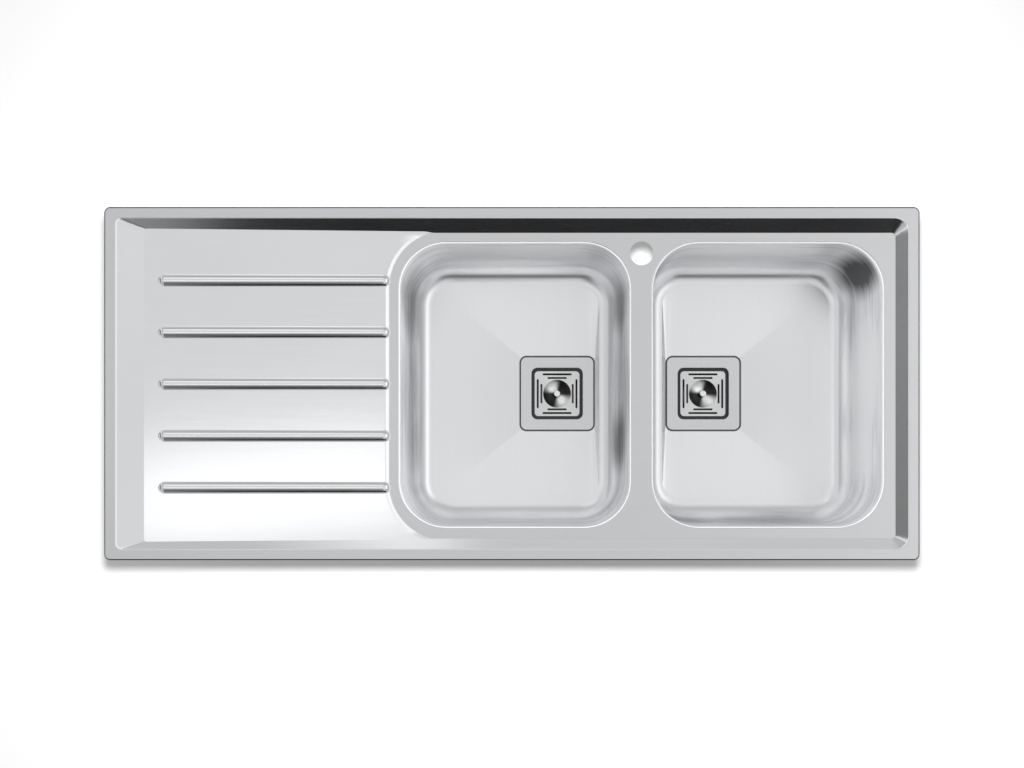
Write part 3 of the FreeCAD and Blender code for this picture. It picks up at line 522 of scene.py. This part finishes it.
def pressed_top_material(steel):
    """Satin rim and deck, bright drainer and walls, matt pale painted highlights on the collars, folds and
    step, and a painted dark reflection on the turned-down edge.
    """
    material, tree, shader = new_material("pressed_top")
    coordinates = object_place(tree)
    x, y, height = axes(tree, coordinates)
    inside = edge_distance(tree, coordinates, HALF_LENGTH, HALF_WIDTH, OUTER_CORNER)
    rim = ramp(tree, height, RIM_TOP - LEVEL_BAND[1], RIM_TOP - LEVEL_BAND[0])
    off_deck = maths(tree, "ABSOLUTE", maths(tree, "SUBTRACT", height, DECK_LEVEL))
    deck = ramp(tree, off_deck, *LEVEL_BAND, 1.0, 0.0)
    satin = maths(tree, "MAXIMUM", rim, deck)
    # Painted highlights: the collars, the fold inside the rim and the step beside the drainer take a pale
    # matt colour in place of their bright reflections
    collar = ramp(tree, height, DECK_LEVEL - COLLAR_BAND[1], DECK_LEVEL - COLLAR_BAND[0], 1.0, 0.0)
    bend = between(tree, height, RIM_TOP - FOLD_BAND[1], RIM_TOP - FOLD_BAND[0], FOLD_FADE)
    fold = maths(tree, "MULTIPLY", bend, ramp(tree, inside, *FOLD_INSET))
    # Painted dark reflection: the turned-down outer edge is coloured near black
    edge = ramp(tree, inside, *EDGE_INSET, 1.0, 0.0)
    over_deck = between(tree, height, DECK_LEVEL + STEP_BAND[0], DECK_LEVEL + STEP_BAND[1], STEP_FADE)
    bowl_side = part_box("left_bowl")[0][0]
    beside = between(tree, x, bowl_side + STEP_REACH[0], bowl_side + STEP_REACH[1], STEP_REACH_FADE)
    clear = between(tree, y, -STEP_HALF_WIDTH, STEP_HALF_WIDTH, STEP_END_FADE)
    step = maths(tree, "MULTIPLY", over_deck, maths(tree, "MULTIPLY", beside, clear))
    step_highlight = maths(tree, "MULTIPLY", step, steel.step_matt)
    pale = maths(tree, "MULTIPLY_ADD", fold, steel.fold_matt, step_highlight)
    matt = maths(tree, "MAXIMUM", collar, pale)
    colour = mix_colours(tree, satin, (*steel.sheet_colour, 1.0), (*steel.satin_colour, 1.0))
    colour = mix_colours(tree, matt, colour, (*steel.painted_highlight_colour, 1.0))
    colour = mix_colours(tree, edge, colour, (*steel.painted_edge_reflection, 1.0))
    roughness = maths(tree, "MULTIPLY_ADD", satin, steel.satin_roughness - steel.bright_roughness,
                      steel.bright_roughness)
    roughness = maths(tree, "MULTIPLY_ADD", matt, steel.collar_roughness - steel.bright_roughness, roughness)
    metal = maths(tree, "MULTIPLY_ADD", matt, -steel.collar_matt, 1.0)
    grain = place_effect(tree, "brush_grain", Vector=coordinates, Pitch=steel.grain_pitch,
                         Length=steel.grain_length, Roughness=roughness, Spread=0.03)
    finish(tree, shader, grain, colour, bump=0.00002, metallic=metal)
    return material


# Painted reflections on the bowls' walls, soft dark and light patches: side, tone, and centre and spread as
# shares of half the bowl's length, width and height
PAINTED_WALL_REFLECTIONS = (
    ("left", -0.60, (-0.99, 0.65, 0.06), (0.35, 0.36, 1.35)),
    ("left", -0.30, (-0.99, -0.04, 0.06), (0.29, 0.76, 1.35)),
    ("left", -0.25, (0.97, 0.15, -0.05), (0.23, 0.95, 1.01)),
    ("left", -0.45, (0.96, 0.65, -0.17), (0.29, 0.28, 1.35)),
    ("left", -0.60, (0.96, -0.37, -0.28), (0.29, 0.33, 1.12)),
    ("left", 0.40, (-0.03, 0.98, 0.17), (1.00, 0.24, 1.35)),
    ("right", -1.00, (0.94, 0.86, 0.17), (0.29, 0.24, 1.35)),
    ("right", 0.42, (-0.11, 0.98, 0.17), (0.82, 0.24, 1.35)),
    ("right", -0.55, (-0.96, 0.79, 0.17), (0.29, 0.28, 1.12)),
    ("right", 0.35, (0.96, 0.10, 0.06), (0.23, 0.62, 1.01)),
    ("right", 0.30, (0.93, -0.47, -0.05), (0.23, 0.33, 1.12)),
    ("right", -0.30, (0.00, -0.98, -0.05), (0.88, 0.19, 1.01)),
    ("right", -0.35, (-0.64, -0.94, -0.28), (0.35, 0.24, 1.01)),
)
# How the parts of a bowl are told apart: walls by their slope, falls by where they face and lie, and
# outsides by facing away from the middle
WALL_SLOPE = (0.55, 0.97)
BANDS_PER_METRE = (7.0, 7.0, 70.0)
FALLS_REACH = (0.24, 0.24, 1.0)
CREASE_WIDTH = 0.01
END_WALL_SLOPE = 0.2
DARKEST_TONE = 0.05
SHEET_SIDES_APART = 0.01


def drawn_bowl_material(side, steel):
    """Brush lines round the walls and along Y on the floor, draw marks, painted reflections on the walls,
    and falls that differ in tone by painted shade.
    """
    material, tree, shader = new_material(side + "_drawn_bowl")
    texture = node(tree, "ShaderNodeTexCoord")
    coordinates = texture.outputs["Object"]
    east, north, upward = axes(tree, texture.outputs["Normal"])
    steeper = maths(tree, "SUBTRACT", maths(tree, "ABSOLUTE", north), maths(tree, "ABSOLUTE", east))
    end_wall = maths(tree, "GREATER_THAN", steeper, END_WALL_SLOPE)
    turned = feed(tree, node(tree, "ShaderNodeMapping"), Vector=coordinates,
                  Rotation=(0.0, 0.0, math.radians(90)))
    lines = feed(tree, node(tree, "ShaderNodeMix", data_type="VECTOR"), _0=end_wall, _4=turned.outputs[0],
                 _5=coordinates)
    wall = ramp(tree, upward, *WALL_SLOPE, 1.0, 0.0)
    banded = vector_maths(tree, "MULTIPLY", coordinates, BANDS_PER_METRE)
    marks = maths(tree, "SUBTRACT", noise(tree, banded, 1.0, detail=3.0), 0.5)
    tone = maths(tree, "MULTIPLY", marks, steel.draw_marks)
    from_middle = vector_maths(tree, "SUBTRACT", coordinates, middle_of(side + "_bowl"))
    in_bowl = vector_maths(tree, "DIVIDE", from_middle, half_sizes(side + "_bowl"))
    # Painted reflections: dark and light soft patches added to the walls' tone
    for owner, shade, centre, spread in PAINTED_WALL_REFLECTIONS:
        if owner == side:
            tone = maths(tree, "MULTIPLY_ADD", soft_patch(tree, in_bowl, centre, spread), shade, tone)
    tone = maths(tree, "MULTIPLY", tone, wall)
    # Painted shade: the falls that face left and right near a drain are darkened
    side_fall = ramp(tree, steeper, -CREASE_WIDTH, CREASE_WIDTH, 1.0, 0.0)
    near_drain = soft_patch(tree, coordinates, middle_of(side + "_strainer_cup"), FALLS_REACH)
    floor = maths(tree, "MULTIPLY", near_drain, maths(tree, "SUBTRACT", 1.0, wall))
    falls = maths(tree, "MULTIPLY", side_fall, floor)
    tone = maths(tree, "MULTIPLY_ADD", falls, -steel.painted_fall_shade, tone)
    tone = maths(tree, "MAXIMUM", maths(tree, "ADD", tone, 1.0), DARKEST_TONE)
    outward = vector_maths(tree, "DOT_PRODUCT", from_middle, texture.outputs["Normal"])
    outside = ramp(tree, outward, 0.0, SHEET_SIDES_APART, 1.0, steel.outside_shade)
    tone = maths(tree, "MULTIPLY", tone, outside)
    colour = mix_colours(tree, 1.0, (*steel.bowl_colour, 1.0), tone, "MULTIPLY")
    grain = place_effect(tree, "brush_grain", Vector=lines.outputs[1], Pitch=steel.grain_pitch,
                         Length=3 * steel.grain_length, Roughness=steel.bowl_roughness, Spread=0.05,
                         Contrast=0.025)
    metal = maths(tree, "MULTIPLY_ADD", wall, -steel.wall_haze, 1.0)
    finish(tree, shader, grain, colour, bump=0.00003, metallic=metal)
    return material


# The spun dish of a basket: its edge, its rings, and the painted highlight and painted shade of the light
# and dark wedges that they mirror
DISH_EDGE = (0.0225, 0.0235)
SPIN_PITCH = 0.0008
SPIN_HEIGHT = 0.00001
WEDGES = 2.0
WEDGE_TURN = math.radians(200)
WEDGE_RANGE = (-0.4, 1.0)
PAINTED_WEDGE_HIGHLIGHT = 1.2
SPIN_STRETCH = 0.75


def spun_basket_material(side, fittings):
    """A strainer plate with the fine rings of spinning in its dish, and a painted reflection of light and
    dark wedges on the dish.
    """
    material, tree, shader = new_material(side + "_spun_basket")
    coordinates = object_place(tree)
    centre = middle_of(side + "_basket")
    from_centre = vector_maths(tree, "SUBTRACT", coordinates, centre)
    flat = vector_maths(tree, "MULTIPLY", from_centre, (1.0, 1.0, 0.0))
    radius = vector_maths(tree, "LENGTH", flat)
    rings = maths(tree, "SINE", maths(tree, "MULTIPLY", radius, 2 * math.pi / SPIN_PITCH))
    dish = ramp(tree, radius, *DISH_EDGE, 1.0, 0.0)
    x, y, _ = axes(tree, flat)
    angle = maths(tree, "ARCTAN2", y, x)
    # Painted highlight and painted shade: light and dark wedges by angle round the dish, as its bow-tie
    # reflection
    wedges = maths(tree, "SINE", maths(tree, "MULTIPLY_ADD", angle, WEDGES, WEDGE_TURN))
    painted_wedges = ramp(tree, wedges, *WEDGE_RANGE, fittings.painted_wedge_shade, PAINTED_WEDGE_HIGHLIGHT)
    dish_tone = mix_colours(tree, dish, (1.0, 1.0, 1.0, 1.0), painted_wedges)
    colour = mix_colours(tree, 1.0, (*fittings.basket_colour, 1.0), dish_tone, "MULTIPLY")
    grain = place_effect(tree, "brush_grain", Vector=coordinates, Pitch=0.0004, Length=0.02,
                         Roughness=0.24, Spread=0.05)
    finish(tree, shader, grain, colour, bump=0.00002, metallic=1.0)
    spun = maths(tree, "MULTIPLY", rings, dish)
    raise_surface(tree, shader, spun, strength=0.4, distance=SPIN_HEIGHT)
    around = node(tree, "ShaderNodeTangent", direction_type="RADIAL", axis="Z")
    tree.links.new(around.outputs[0], shader.inputs["Tangent"])
    shader.inputs["Anisotropic"].default_value = SPIN_STRETCH
    return material


def foam_material(fittings):
    """Closed-cell foam: small round cells, cut open here and there."""
    material, tree, shader = new_material("seal_foam")
    coordinates = object_place(tree)
    cells_per_metre = 1400.0
    cells = feed(tree, node(tree, "ShaderNodeTexVoronoi"), Vector=coordinates, Scale=cells_per_metre)
    grain = place_effect(tree, "mould_grain", Vector=coordinates, Size=0.0012, Roughness=0.8,
                         Contrast=0.35)
    finish(tree, shader, grain, fittings.foam_colour, bump=0.0001, metallic=0.0)
    raise_surface(tree, shader, cells.outputs["Distance"], strength=0.6, distance=0.0002)
    return material


def pad_material(fittings):
    """Bitumen sheet embossed with a small square waffle."""
    material, tree, shader = new_material("damping_pad")
    coordinates = object_place(tree)
    waffle_pitch = 0.006
    angles = vector_maths(tree, "MULTIPLY", coordinates, (math.pi / waffle_pitch,) * 3)
    x, y, _ = axes(tree, vector_maths(tree, "ABSOLUTE", vector_maths(tree, "SINE", angles)))
    groove_share = 0.35
    waffle = ramp(tree, maths(tree, "MINIMUM", x, y), 0.0, groove_share)
    grain = place_effect(tree, "mould_grain", Vector=coordinates, Size=0.001, Roughness=0.75,
                         Contrast=0.3)
    finish(tree, shader, grain, fittings.pad_colour, bump=0.0001, metallic=0.0)
    raise_surface(tree, shader, waffle, strength=0.8, distance=0.0004)
    return material


def dress(names, material):
    """Put a material on CAD nodes in place of their plain one."""
    for name in names:
        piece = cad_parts[name]
        for slot in piece.material_slots:
            slot.link = "OBJECT"
            slot.material = material


# Small shapes


# Threads: shanks, places, where each starts and stops, and their profile as shares of the pitch
OUTLET_RADIUS = 0.0239
CLIP_SCREW_RADIUS = 0.0025
CLIP_SPACING = 0.43
CLIP_ROW = 0.2195
END_CLIP = 0.5595
CLIP_PLACES = [(CLIP_SPACING * step, side * CLIP_ROW) for step in (-1, 0, 1) for side in (-1, 1)]
CLIP_PLACES += [(-END_CLIP, 0.0), (END_CLIP, 0.0)]
OUTLET_THREAD = (0.002, 0.026)
OUTLET_STEPS = 96
CLIP_HEAD = 0.0045
CLIP_POINT = 0.0005
CLIP_STEPS = 20
ROOT_SINK = 0.0002
CREST_SINK = 0.0001
FLANK_SHARE = 0.42
CREST_SHARE = 0.06


def new_piece(name, mesh, material):
    """An object on the sink's shell from a finished bmesh, with its material."""
    bmesh.ops.recalc_face_normals(mesh, faces=mesh.faces)
    made = bpy.data.meshes.new(name)
    mesh.to_mesh(made)
    mesh.free()
    made.materials.append(material)
    piece = bpy.data.objects.new(name, made)
    bpy.context.scene.collection.objects.link(piece)
    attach(piece, SHELL)


def swept_ring(mesh, rings, closed):
    """Skin a list of rings of points, each a closed section, and cap the ends of an open sweep."""
    rows = [[mesh.verts.new(point) for point in ring] for ring in rings]
    last = len(rows) if closed else len(rows) - 1
    for k in range(last):
        here, after = rows[k], rows[(k + 1) % len(rows)]
        for j in range(len(here)):
            i = (j + 1) % len(here)
            mesh.faces.new((here[j], here[i], after[i], after[j]))
    if not closed:
        mesh.faces.new(rows[0][::-1])
        mesh.faces.new(rows[-1])


def helix_thread(places, radius, low, high, pitch, height, steps):
    """A pointed thread wound up a shank at each place, running out to nothing at both ends."""
    mesh = bmesh.new()
    turns = int((high - low) / pitch) - 1
    count = turns * steps
    root = radius - ROOT_SINK
    for x, y in places:
        rings = []
        for k in range(count + 1):
            angle = 2 * math.pi * k / steps
            level = low + pitch / 2 + pitch * k / steps
            run_out = min(1.0, k / steps, (count - k) / steps)
            crest = radius - CREST_SINK + (height + CREST_SINK) * run_out
            profile = ((root, -FLANK_SHARE), (crest, -CREST_SHARE),
                       (crest, CREST_SHARE), (root, FLANK_SHARE))
            rings.append([(x + reach * math.cos(angle), y + reach * math.sin(angle), level + rise * pitch)
                          for reach, rise in profile])
        swept_ring(mesh, rings, False)
    return mesh


# Weld beads: their route, their section and their ripples, each a depth and a turn for every step
BEAD_CORNER = 0.0692
BEAD_LIFT = 0.0001
BEAD_STEP = 0.0025
BEAD_FLAT_SHARE = 0.6
BEAD_SIDES = 8
CORNER_STEPS = 40
RIPPLES = ((0.12, 2.1), (0.08, 0.37))


def mouth_outline(low, high, corner):
    """Points round the rounded outline of a box, each with the angle that it faces."""
    east, north = high[0] - corner, high[1] - corner
    west, south = low[0] + corner, low[1] + corner
    outline = []
    for quarter, (x, y) in enumerate(((east, north), (west, north), (west, south), (east, south))):
        for k in range(CORNER_STEPS + 1):
            angle = math.radians(90 * quarter + 90 * k / CORNER_STEPS)
            outline.append((x + corner * math.cos(angle), y + corner * math.sin(angle), angle))
    points = []
    for k, (x, y, angle) in enumerate(outline):
        next_x, next_y, _ = outline[(k + 1) % len(outline)]
        parts = max(1, round(math.hypot(next_x - x, next_y - y) / BEAD_STEP))
        for share in [j / parts for j in range(parts)]:
            points.append((x + (next_x - x) * share, y + (next_y - y) * share, angle))
    return points


def weld_bead(side, radius):
    """A rippled bead round the outline of a bowl's mouth."""
    low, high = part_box(side + "_bowl")
    level = high[2] + BEAD_LIFT
    mesh = bmesh.new()
    rings = []
    for k, (x, y, angle) in enumerate(mouth_outline(low, high, BEAD_CORNER)):
        swell = radius * (1.0 + sum(depth * math.sin(k * turn) for depth, turn in RIPPLES))
        ring = []
        for j in range(BEAD_SIDES):
            around = 2 * math.pi * j / BEAD_SIDES
            out = swell * math.cos(around)
            rise = BEAD_FLAT_SHARE * swell * math.sin(around)
            ring.append((x + out * math.cos(angle), y + out * math.sin(angle), level + rise))
        rings.append(ring)
    swept_ring(mesh, rings, True)
    for face in mesh.faces:
        face.smooth = True
    return mesh


# Studio


def lay_floor(settings):
    """A wide pale floor just under the waste outlets."""
    level = FLOOR_LEVEL - settings.floor_gap
    reach = settings.floor_reach
    mesh = bpy.data.meshes.new("floor")
    corners = [(reach * x, reach * y, level) for x, y in ((-1, -1), (1, -1), (1, 1), (-1, 1))]
    mesh.from_pydata(corners, [], [(0, 1, 2, 3)])
    floor = bpy.data.objects.new("floor", mesh)
    bpy.context.scene.collection.objects.link(floor)
    material, tree, shader = new_material("pale_floor")
    shader.inputs["Base Color"].default_value = (*settings.floor_colour, 1.0)
    shader.inputs["Roughness"].default_value = 0.9
    path = node(tree, "ShaderNodeLightPath")
    mirrored = maths(tree, "MAXIMUM", path.outputs["Is Glossy Ray"], path.outputs["Is Transmission Ray"])
    seen = maths(tree, "MAXIMUM", path.outputs["Is Camera Ray"], mirrored)
    shader.inputs["Emission Color"].default_value = (1.0, 1.0, 1.0, 1.0)
    tree.links.new(maths(tree, "MULTIPLY", seen, settings.floor_lift), shader.inputs["Emission Strength"])
    mesh.materials.append(material)


# Soft panels of the studio, seen as directions: name, its west, east, south and north sides, how far
# its north and south sides lean as they go east, softness of its sides and brightness
PANELS = (
    ("north_west_box", (-0.38, -0.08, 0.42, 0.60), 0.0, 0.05, 1.15),
    ("north_west_low", (-0.38, -0.08, 0.93, 0.98), 0.0, 0.02, 1.15),
    ("north_low_shade", (-0.33, -0.12, 0.86, 0.935), 0.0, 0.02, 0.60),
    ("west_strip", (-0.73, -0.62, -0.30, 0.60), 0.0, 0.03, 0.95),
    ("west_wall", (-0.93, -0.77, -0.30, 0.40), 0.0, 0.03, 0.22),
    ("east_box", (0.375, 0.66, -0.25, 0.45), 0.0, 0.025, 1.35),
    ("south_low", (-0.45, -0.10, -0.30, -0.08), 0.0, 0.02, 0.60),
    ("drainer_box", (-0.35, -0.085, -0.067, 0.024), 0.11, 0.012, 1.50),
    ("near_left_gap", (-0.37, -0.08, -0.70, -0.30), 0.0, 0.04, 0.15),
    ("near_left_shade", (-0.38, -0.28, -0.86, -0.62), 0.0, 0.04, 0.25),
    ("near_gap", (-0.29, 0.40, -0.86, -0.62), 0.0, 0.02, 0.015),
)
# Heights of the studio, as directions, between which its light changes
DIFFUSER_EDGE = (0.78, 0.92)
WALL_EDGE = (0.15, 0.45)
PANEL_FOOT = (0.0, 0.05)
CLOUD_EDGE = (0.80, 0.93)
CLOUD_SCALE = 5.0


def light_world(settings):
    """A diffuser overhead over dimmer walls, with soft panels and a dark gap on the near side."""
    world = bpy.data.worlds.new("studio")
    bpy.context.scene.world = world
    world.use_nodes = True
    tree = world.node_tree
    tree.nodes.clear()
    background = node(tree, "ShaderNodeBackground")
    output = node(tree, "ShaderNodeOutputWorld")
    tree.links.new(background.outputs[0], output.inputs["Surface"])
    direction = node(tree, "ShaderNodeTexCoord").outputs["Generated"]
    x, y, height = axes(tree, direction)
    above = ramp(tree, height, *DIFFUSER_EDGE, 0.0, settings.sky_level - settings.wall_level)
    low = ramp(tree, height, *WALL_EDGE, settings.horizon_level, settings.wall_level)
    level = maths(tree, "ADD", above, low)
    upward = ramp(tree, height, *PANEL_FOOT)
    for name, (west, east, south, north), lean, softness, brightness in PANELS:
        from_middle = maths(tree, "SUBTRACT", x, (west + east) / 2)
        across = maths(tree, "MULTIPLY_ADD", from_middle, -lean, y)
        mask = upward
        for axis, low_side, high_side in ((x, west, east), (across, south, north)):
            rise = ramp(tree, axis, low_side - softness, low_side + softness)
            fall = ramp(tree, axis, high_side - softness, high_side + softness, 1.0, 0.0)
            mask = maths(tree, "MULTIPLY", mask, maths(tree, "MULTIPLY", rise, fall))
        change = maths(tree, "SUBTRACT", brightness, level)
        level = maths(tree, "MULTIPLY_ADD", change, mask, level)
        level.node.label = name
    clouds = noise(tree, direction, CLOUD_SCALE, detail=1.5)
    depth = ramp(tree, height, *CLOUD_EDGE, settings.cloud_depth, settings.overhead_cloud)
    centred = maths(tree, "SUBTRACT", clouds, 0.5)
    cloudy = maths(tree, "MULTIPLY_ADD", centred, depth, 1.0)
    tree.links.new(maths(tree, "MULTIPLY", level, cloudy), background.inputs["Color"])


def hang_lamp(settings):
    """One small soft lamp over the sink that throws its shadow on the floor."""
    lamp = bpy.data.lights.new("shadow_lamp", "AREA")
    lamp.shape = "DISK"
    lamp.size = settings.lamp_size
    lamp.energy = settings.lamp_power
    hung = bpy.data.objects.new("shadow_lamp", lamp)
    hung.location = settings.lamp_place
    hung.visible_glossy = False
    hung.visible_camera = False
    bpy.context.scene.collection.objects.link(hung)


def stand_camera(settings):
    """The camera looks straight down, as the photograph does."""
    lens = bpy.data.cameras.new("camera")
    lens.lens = settings.lens
    lens.sensor_width = settings.sensor_width
    lens.shift_x, lens.shift_y = settings.shift
    camera = bpy.data.objects.new("camera", lens)
    camera.location = (*settings.camera_offset, settings.camera_height)
    bpy.context.scene.collection.objects.link(camera)
    bpy.context.scene.camera = camera


# Operators


class SINK_OT_stage(bpy.types.Operator):
    """Lay the pale floor, the soft light and the camera"""
    bl_idname = "sink.stage"
    bl_label = "Studio"

    def execute(self, context):
        settings = context.scene.sink_stage
        lay_floor(settings)
        light_world(settings)
        hang_lamp(settings)
        stand_camera(settings)
        context.scene.view_settings.view_transform = "Standard"
        return {"FINISHED"}


class SINK_OT_top(bpy.types.Operator):
    """Give the pressed top its satin, bright and matt finishes"""
    bl_idname = "sink.top"
    bl_label = "Pressed top"

    def execute(self, context):
        dress(["sink_top"], pressed_top_material(context.scene.sink_steel))
        return {"FINISHED"}


class SINK_OT_bowls(bpy.types.Operator):
    """Give both bowls their drawn and brushed finish"""
    bl_idname = "sink.bowls"
    bl_label = "Bowls"

    def execute(self, context):
        for side in SIDES:
            dress([side + "_bowl"], drawn_bowl_material(side, context.scene.sink_steel))
        return {"FINISHED"}


class SINK_OT_strainers(bpy.types.Operator):
    """Finish the strainer cups and their spun baskets"""
    bl_idname = "sink.strainers"
    bl_label = "Strainers"

    def execute(self, context):
        steel = context.scene.sink_steel
        fittings = context.scene.sink_fittings
        satin = strainer_cup_material(steel, fittings)
        for side in SIDES:
            dress([side + "_strainer_cup"], satin)
            dress([side + "_basket"], spun_basket_material(side, fittings))
        return {"FINISHED"}


class SINK_OT_plugs(bpy.types.Operator):
    """Finish the knobs, stems, bushes and stoppers of the plugs"""
    bl_idname = "sink.plugs"
    bl_label = "Plugs"

    def execute(self, context):
        fittings = context.scene.sink_fittings
        polished = steel_material("polished_turning", fittings.polish_colour, roughness=0.10,
                                  spread=0.03, pitch=0.0003, length=0.01)
        guide = moulded_material("guide_plastic", fittings.guide_colour, roughness=0.4, size=0.0004,
                                 contrast=0.06, bump=0.00002)
        rubber = moulded_material("gasket_rubber", fittings.rubber_colour, roughness=0.55, size=0.0005,
                                  contrast=0.3, bump=0.00004)
        for side in SIDES:
            dress([side + "_plug_knob", side + "_plug_stem"], polished)
            dress([side + "_stem_bush"], guide)
            dress([side + "_plug_stopper", side + "_flange_gasket", side + "_waste_gasket"], rubber)
        return {"FINISHED"}


class SINK_OT_wastes(bpy.types.Operator):
    """Finish the waste bodies and cut the threads of their outlets"""
    bl_idname = "sink.wastes"
    bl_label = "Wastes"

    def execute(self, context):
        fittings = context.scene.sink_fittings
        plastic = moulded_material("waste_plastic", fittings.waste_colour, roughness=0.42, size=0.0006,
                                   contrast=0.2, bump=0.00003)
        screw = steel_material("screw_steel", fittings.screw_colour, roughness=0.28, spread=0.08,
                               pitch=0.0003, length=0.004)
        for side in SIDES:
            dress([side + "_waste_body"], plastic)
            dress([side + "_clamp_screw"], screw)
            x, y, _ = middle_of(side + "_waste_body")
            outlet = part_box(side + "_waste_body")[0][2]
            thread = helix_thread([(x, y)], OUTLET_RADIUS, outlet + OUTLET_THREAD[0],
                                  outlet + OUTLET_THREAD[1], fittings.outlet_pitch,
                                  fittings.outlet_height, OUTLET_STEPS)
            new_piece(side + "_outlet_thread", thread, plastic)
        return {"FINISHED"}


class SINK_OT_clips(bpy.types.Operator):
    """Finish the clips and cut the threads of their screws"""
    bl_idname = "sink.clips"
    bl_label = "Worktop clips"

    def execute(self, context):
        fittings = context.scene.sink_fittings
        zinc = zinc_material("zinc_steel", fittings.zinc_colour, roughness=0.34, size=0.0025)
        dress(["clip_brackets", "clip_screws"] + CLAWS, zinc)
        low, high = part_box("clip_screws")
        threads = helix_thread(CLIP_PLACES, CLIP_SCREW_RADIUS, low[2] + CLIP_HEAD, high[2] - CLIP_POINT,
                               fittings.clip_pitch, fittings.clip_height, CLIP_STEPS)
        new_piece("clip_threads", threads, zinc)
        return {"FINISHED"}


class SINK_OT_seals(bpy.types.Operator):
    """Finish the foam rim seal and the damping pads"""
    bl_idname = "sink.seals"
    bl_label = "Seals and pads"

    def execute(self, context):
        fittings = context.scene.sink_fittings
        dress(["rim_seal"], foam_material(fittings))
        dress([side + "_sound_pad" for side in SIDES], pad_material(fittings))
        return {"FINISHED"}


class SINK_OT_welds(bpy.types.Operator):
    """Run the weld bead round each bowl where it meets its collar"""
    bl_idname = "sink.welds"
    bl_label = "Bowl welds"

    def execute(self, context):
        fittings = context.scene.sink_fittings
        material, tree, shader = new_material("weld_bead")
        coordinates = object_place(tree)
        grain = place_effect(tree, "mould_grain", Vector=coordinates, Size=0.0015, Roughness=0.4,
                             Contrast=0.35)
        finish(tree, shader, grain, fittings.weld_colour, bump=0.0001, metallic=1.0)
        for side in SIDES:
            bead = weld_bead(side, fittings.bead_radius)
            new_piece(side + "_weld", bead, material)
        return {"FINISHED"}


OPERATORS = (SINK_OT_stage, SINK_OT_top, SINK_OT_bowls, SINK_OT_strainers, SINK_OT_plugs, SINK_OT_wastes,
             SINK_OT_clips, SINK_OT_seals, SINK_OT_welds)


class SINK_PT_panel(bpy.types.Panel):
    """Lists the steps that dress the sink."""
    bl_label = "Inset sink"
    bl_idname = "SINK_PT_panel"
    bl_space_type = "VIEW_3D"
    bl_region_type = "UI"
    bl_category = "Sink"

    def draw(self, context):
        for operator in OPERATORS:
            self.layout.operator(operator.bl_idname)


CLASSES = (SinkStageSettings, SinkSteelSettings, SinkFittingSettings, *OPERATORS, SINK_PT_panel)


def register():
    """Add the settings, the steps and their panel."""
    for item in CLASSES:
        bpy.utils.register_class(item)
    bpy.types.Scene.sink_stage = PointerProperty(type=SinkStageSettings)
    bpy.types.Scene.sink_steel = PointerProperty(type=SinkSteelSettings)
    bpy.types.Scene.sink_fittings = PointerProperty(type=SinkFittingSettings)


def unregister():
    """Take them away again, in the opposite order."""
    del bpy.types.Scene.sink_fittings
    del bpy.types.Scene.sink_steel
    del bpy.types.Scene.sink_stage
    for item in reversed(CLASSES):
        bpy.utils.unregister_class(item)


def main():
    """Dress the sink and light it."""
    register()
    bpy.ops.sink.stage()
    bpy.ops.sink.top()
    bpy.ops.sink.bowls()
    bpy.ops.sink.strainers()
    bpy.ops.sink.plugs()
    bpy.ops.sink.wastes()
    bpy.ops.sink.clips()
    bpy.ops.sink.seals()
    bpy.ops.sink.welds()


if __name__ == "__main__":
    main()
